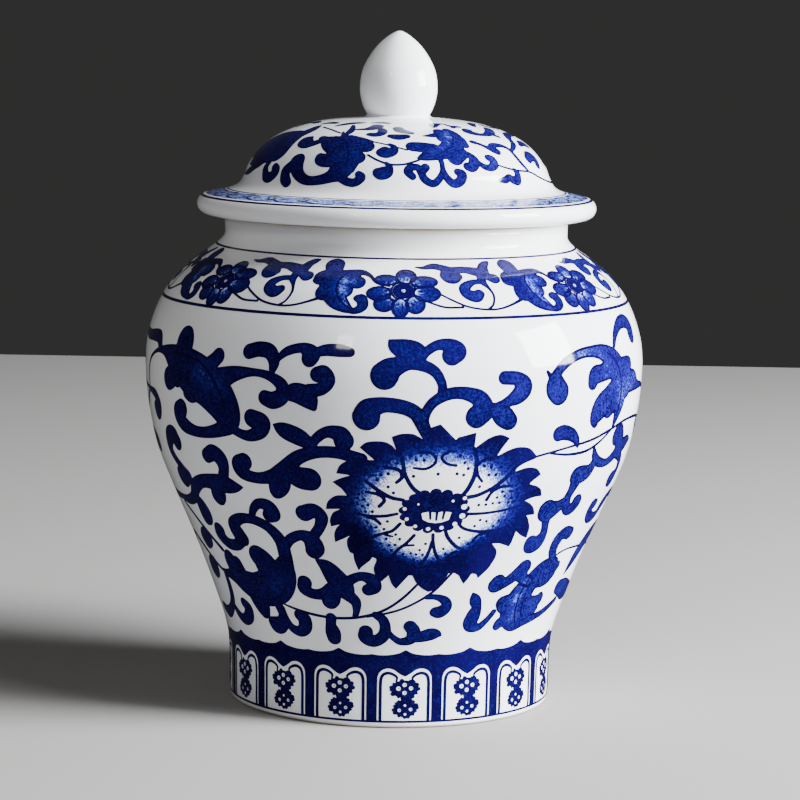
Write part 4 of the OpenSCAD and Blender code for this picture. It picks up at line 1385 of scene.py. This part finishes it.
def paint_shoulder(jar, ink):
    """The band of small flowers, sprays and leaves between two lines."""
    for k, (climb, half) in enumerate(SHOULDER_LINES):
        ring_line(f"shoulder_line_{k + 1}", jar, climb, half, ink)
    copies = [k * SHOULDER_UNIT for k in range(SHOULDER_REPEATS)]
    cx, cy = SHOULDER_FLOWER
    inset, half = SHOULDER_PETAL_LINE
    petals, marks = Field(*SHOULDER_WINDOW), Field(*SHOULDER_WINDOW)
    rng = random.Random(4)
    for px, py, rx, ry in SHOULDER_PETALS:
        petals.fill(ellipse(px, py, rx, ry))
        marks.trace(ellipse(px, py, rx - inset, ry - inset), half)
        ahead = math.atan2(py - cy, px - cx)
        for side in SHOULDER_TICKS:
            c, s = math.cos(ahead + side), math.sin(ahead + side)
            near = SHOULDER_TICK_NEAR + rng.uniform(0, 0.9)
            far = near + rng.uniform(0.7, 1.5)
            marks.stroke([(cx + near * c, cy + near * s, 0.12), (cx + far * c, cy + far * s, 0.2)])
    petals.fill(ellipse(cx, cy, *SHOULDER_DISC))
    marks.fill(ellipse(cx, cy, *SHOULDER_HEART))
    marks.fill(ellipse(cx, cy, *SHOULDER_EYE), -1)

    def petal_tone(x, y):
        least, growth, start, spread_over = SHOULDER_PETAL_TONE
        rho = np.hypot(x - cx, y - cy)
        return least + growth * np.clip((rho - start) / spread_over, 0, 1)

    paint_group("shoulder_flower", jar, petals, petal_tone, ink, copies, True, LOTUS_SKIN)
    paint_group("shoulder_flower_lines", jar, marks, even_tone(), ink, copies, False, LINE_SKIN)
    spray = field_of(SHOULDER_WINDOW, SHOULDER_SPRAY, SWELL)
    spray.keep_off(petals, -0.2)
    paint_group("shoulder_spray", jar, spray, even_tone(0.80), ink, copies, True)
    leaf = field_of(SHOULDER_WINDOW, SHOULDER_LEAF, SWELL)
    leaf.keep_off(petals, -0.2)
    tone = wash_and_painted_light_tone(SHOULDER_LEAF_LIGHTS, 0.88)
    paint_group("shoulder_leaf", jar, leaf, tone, ink, copies, True)
    ribs = field_of(SHOULDER_WINDOW, SHOULDER_RIBS)
    paint_group("shoulder_leaf_rib", jar, ribs, even_tone(), ink, copies, False, LINE_SKIN)


def mirrored(half, centre):
    """The right and left half of an outline, from its right half about a middle turn."""
    right = [(centre + p[0], *p[1:]) for p in half]
    left = [(centre - p[0], *p[1:]) for p in half[::-1]]
    return right, left


def lappet_fields():
    """The solid frame of one foot lappet, and the lines and flowers in its window."""
    unit = 360 / LAPPETS
    low, high = LAPPET_CENTRE - unit / 2, LAPPET_CENTRE + unit / 2
    frame_field, marks = Field(low, high, *LAPPET_CLIMBS), Field(low, high, *LAPPET_CLIMBS)
    top = [tuple(p) for p in smooth(BAND_TOP, 4)]
    frame_field.fill(top + [(high + 1, 27.6), (high + 1, BAND_LOW), (low - 1, BAND_LOW),
                            (low - 1, 27.6)])
    arch = [tuple(p) for p in smooth(WINDOW_HALF[:8], 5)] + [WINDOW_HALF[8]]
    right, left = mirrored(arch, LAPPET_CENTRE)
    frame_field.fill(right + left, -1)
    right, left = mirrored(WINDOW_LINE, LAPPET_CENTRE)
    marks.stroke(right)
    marks.stroke(left)
    rng = random.Random(5)
    for x, y, rx, ry in LAPPET_FLOWERS:
        marks.fill(ellipse(x, y, rx, ry))
        for k in range(RAGGED_DOTS):
            a = math.tau * (k + rng.uniform(-0.3, 0.3)) / RAGGED_DOTS
            r = rng.uniform(0.4, 0.95)
            marks.fill(ellipse(x + rx * math.cos(a), y + ry * math.sin(a), r, r * 0.9, 0, 14))
    marks.fill(ellipse(*LAPPET_WAIST, 0, 16))
    for x, y, r in LAPPET_HOLES:
        marks.fill(ellipse(x, y, r, r * 0.95, 0, 16), -1)
    for x, y, r in LAPPET_HOLES[:6]:
        marks.fill(ellipse(x + 0.1, y, LAPPET_HOLE_DOTS, LAPPET_HOLE_DOTS, 0, 10))
    return frame_field, marks


def paint_foot(jar, ink):
    """The lappets around the foot."""
    frame_field, marks = lappet_fields()
    copies = [k * 360 / LAPPETS for k in range(LAPPETS)]
    paint_group("lappet", jar, frame_field, even_tone(0.98), ink, copies)
    paint_group("lappet_flower", jar, marks, even_tone(0.97), ink, copies)


def border_field(unit):
    """One scallop of the border on the brim, with a curl and a dot in it."""
    low, high = BORDER
    mid = 0.5 * (low + high)
    field = Field(0, unit, low - 1.5, high + 1.5)
    for k in (-1, 0, 1):
        x = unit * (k + 0.5)
        scallop = [(x - unit / 2, mid + 1.0, 0.4), (x - unit / 4, high - 0.9, 0.45),
                   (x, high - 0.3, 0.5), (x + unit / 4, high - 0.9, 0.45),
                   (x + unit / 2, mid + 1.0, 0.4)]
        field.stroke(scallop)
        curl = [(x - 4.2, low + 0.4, 0.4), (x - 1.2, low + 1.2, 0.6), (x + 1.6, mid + 0.3, 0.62),
                (x + 0.6, mid + 2.0, 0.55), (x - 1.4, mid + 1.4, 0.5), (x - 1.0, mid + 0.2, 0.4)]
        field.stroke(curl)
        field.stroke([(x + 2.4, low + 2.0, 0.4), (x + 4.4, low + 1.2, 0.6),
                      (x + 6.6, low + 0.6, 0.4)])
        field.fill(ellipse(x + 4.4, mid + 0.9, 0.95, 0.8, 0, 16))
    return field


def paint_lid(lid, ink):
    """Scrolls on the dome, the border on the brim and the line at its edge."""
    climb, half = BRIM_LINE
    ring_line("brim_line", lid, climb, half, ink)
    low, high = BORDER
    gap, half, tone = BORDER_LINE
    ring_line("border_line", lid, high + gap, half, ink, tone)
    ring_line("border_wash", lid, 0.5 * (low + high), 0.5 * (high - low), ink, BORDER_WASH)
    unit = 360 / BORDER_WAVES
    field = border_field(unit)
    parts = [skin_mesh(g, [], field, even_tone(0.95)) for g in islands(edge_loops(field))]
    copies = [k * unit for k in range(BORDER_WAVES)]
    for c in range(0, BORDER_WAVES, BORDER_PIECE):
        shifted = [(flat + (turn, 0), tris, shade) for turn in copies[c:c + BORDER_PIECE]
                   for flat, tris, shade in parts]
        painted(f"border_{c // BORDER_PIECE + 1}", lid, shifted, LINE_SKIN, 0, ink)
    taken = Field(*LID_WINDOW)
    # The last figure is painted light: the washed leaves grow lighter toward the lit right side
    tone = wash_and_painted_light_tone(LID_LIGHTS, 0.90, 0.06)
    for name, strokes in LID_SCROLL.items():
        field = field_of(LID_WINDOW, strokes, SWELL)
        field.keep_off(taken, -0.02)
        taken.d = np.minimum(taken.d, field.d)
        paint_group("lid_" + name, lid, field, tone, ink, HALF_TURNS, True)
    ribs = field_of(LID_WINDOW, LID_RIBS)
    paint_group("lid_ribs", lid, ribs, even_tone(), ink, HALF_TURNS, False, LINE_SKIN)


# ---------------------------------------------------------------- camera and light

CAMERA_RISE = 7.229       # degrees above the horizon
CAMERA_AWAY = 1.0082      # metres from the point it looks at
CAMERA_ROLL = 0.966       # degrees
CAMERA_LENS = 141.03      # millimetres
LOOK_AT = Vector((0.00211, 0, 0.09597))
LIT = (0, 0, 110 * MM)    # the middle of the jar, which the lights face
FLOOR = (-1.6, 1.6, -0.6, 0.95)    # left, right, front and back edge
FLOOR_GREY = (0.32, 0.315, 0.31, 1)
FLOOR_GAP = 0.02 * MM     # keeps the floor just clear of the foot
AIR = (0.76, 0.75, 0.74, 1)
AIR_STRENGTH = 0.045


def build_camera():
    """A long lens in front of the jar, a little above it and slightly tilted."""
    rise, roll = math.radians(CAMERA_RISE), math.radians(CAMERA_ROLL)
    ahead = Vector((0, math.cos(rise), -math.sin(rise)))
    right = Vector((1, 0, 0))
    up = right.cross(ahead)
    side = right * math.cos(roll) + up * math.sin(roll)
    top = up * math.cos(roll) - right * math.sin(roll)
    camera = bpy.data.objects.new("camera", bpy.data.cameras.new("camera"))
    camera.data.lens = CAMERA_LENS
    camera.data.clip_start = 0.01
    turn = Matrix((side, top, -ahead)).transposed()
    camera.matrix_world = Matrix.Translation(LOOK_AT - ahead * CAMERA_AWAY) @ turn.to_4x4()
    bpy.context.scene.collection.objects.link(camera)
    bpy.context.scene.camera = camera


def area_light(name, place, size, power, colour=(1, 1, 1), glints=True):
    """A soft light that faces the jar; without glints the glaze doesn't mirror it."""
    data = bpy.data.lights.new(name, "AREA")
    data.shape = "RECTANGLE"
    data.size, data.size_y = size
    data.energy = power
    data.color = colour
    light = bpy.data.objects.new(name, data)
    light.location = place
    light.visible_glossy = glints
    light.rotation_euler = (Vector(LIT) - Vector(place)).to_track_quat("-Z", "Y").to_euler()
    bpy.context.scene.collection.objects.link(light)


def build_studio():
    """A pale floor and a soft studio around it."""
    left, right, front, back = FLOOR
    corners = [(left, front), (right, front), (right, back), (left, back)]
    floor = bpy.data.meshes.new("floor")
    floor.from_pydata([(x, y, -FLOOR_GAP) for x, y in corners], [], [(0, 1, 2, 3)])
    floor.materials.append(plain("floor", FLOOR_GREY, 0.7))
    piece = bpy.data.objects.new("floor", floor)
    bpy.context.scene.collection.objects.link(piece)
    # Mirrored in the glaze, the pale floor would cloud the cobalt
    piece.visible_glossy = False
    area_light("key", (1.17, -0.30, 0.52), (0.56, 0.56), 104.0, (0.97, 0.985, 1.0))
    area_light("window", (-0.40, -0.92, 0.66), (0.13, 0.18), 1.8, (1.0, 0.96, 0.92))
    area_light("high", (0.85, -0.55, 1.20), (0.60, 0.50), 24.0, glints=False)
    area_light("side", (-1.30, 0.25, 0.75), (0.5, 0.5), 2.0, glints=False)
    world = bpy.data.worlds.new("studio")
    world.use_nodes = True
    world.node_tree.nodes["Background"].inputs[0].default_value = AIR
    world.node_tree.nodes["Background"].inputs[1].default_value = AIR_STRENGTH
    bpy.context.scene.world = world


# ---------------------------------------------------------------- the whole scene

def build():
    """The jar and its lid, their painting, and the studio."""
    white, ink, bare = white_glaze("white_glaze"), cobalt_glaze("cobalt_glaze"), biscuit("biscuit")
    jar = Turned("jar_body", FOOT_CORNER)
    lid = Turned("lid_dome", BRIM_CORNER, "lid")
    collar = Turned("lid_collar", None, "lid")
    finial = Turned("finial", None, "lid")
    build_porcelain(jar, lid, collar, finial, white, bare)
    outline = paint_lotus(jar, ink)
    paint_scroll(jar, ink, outline)
    paint_shoulder(jar, ink)
    paint_foot(jar, ink)
    paint_lid(lid, ink)
    build_studio()
    build_camera()


build()
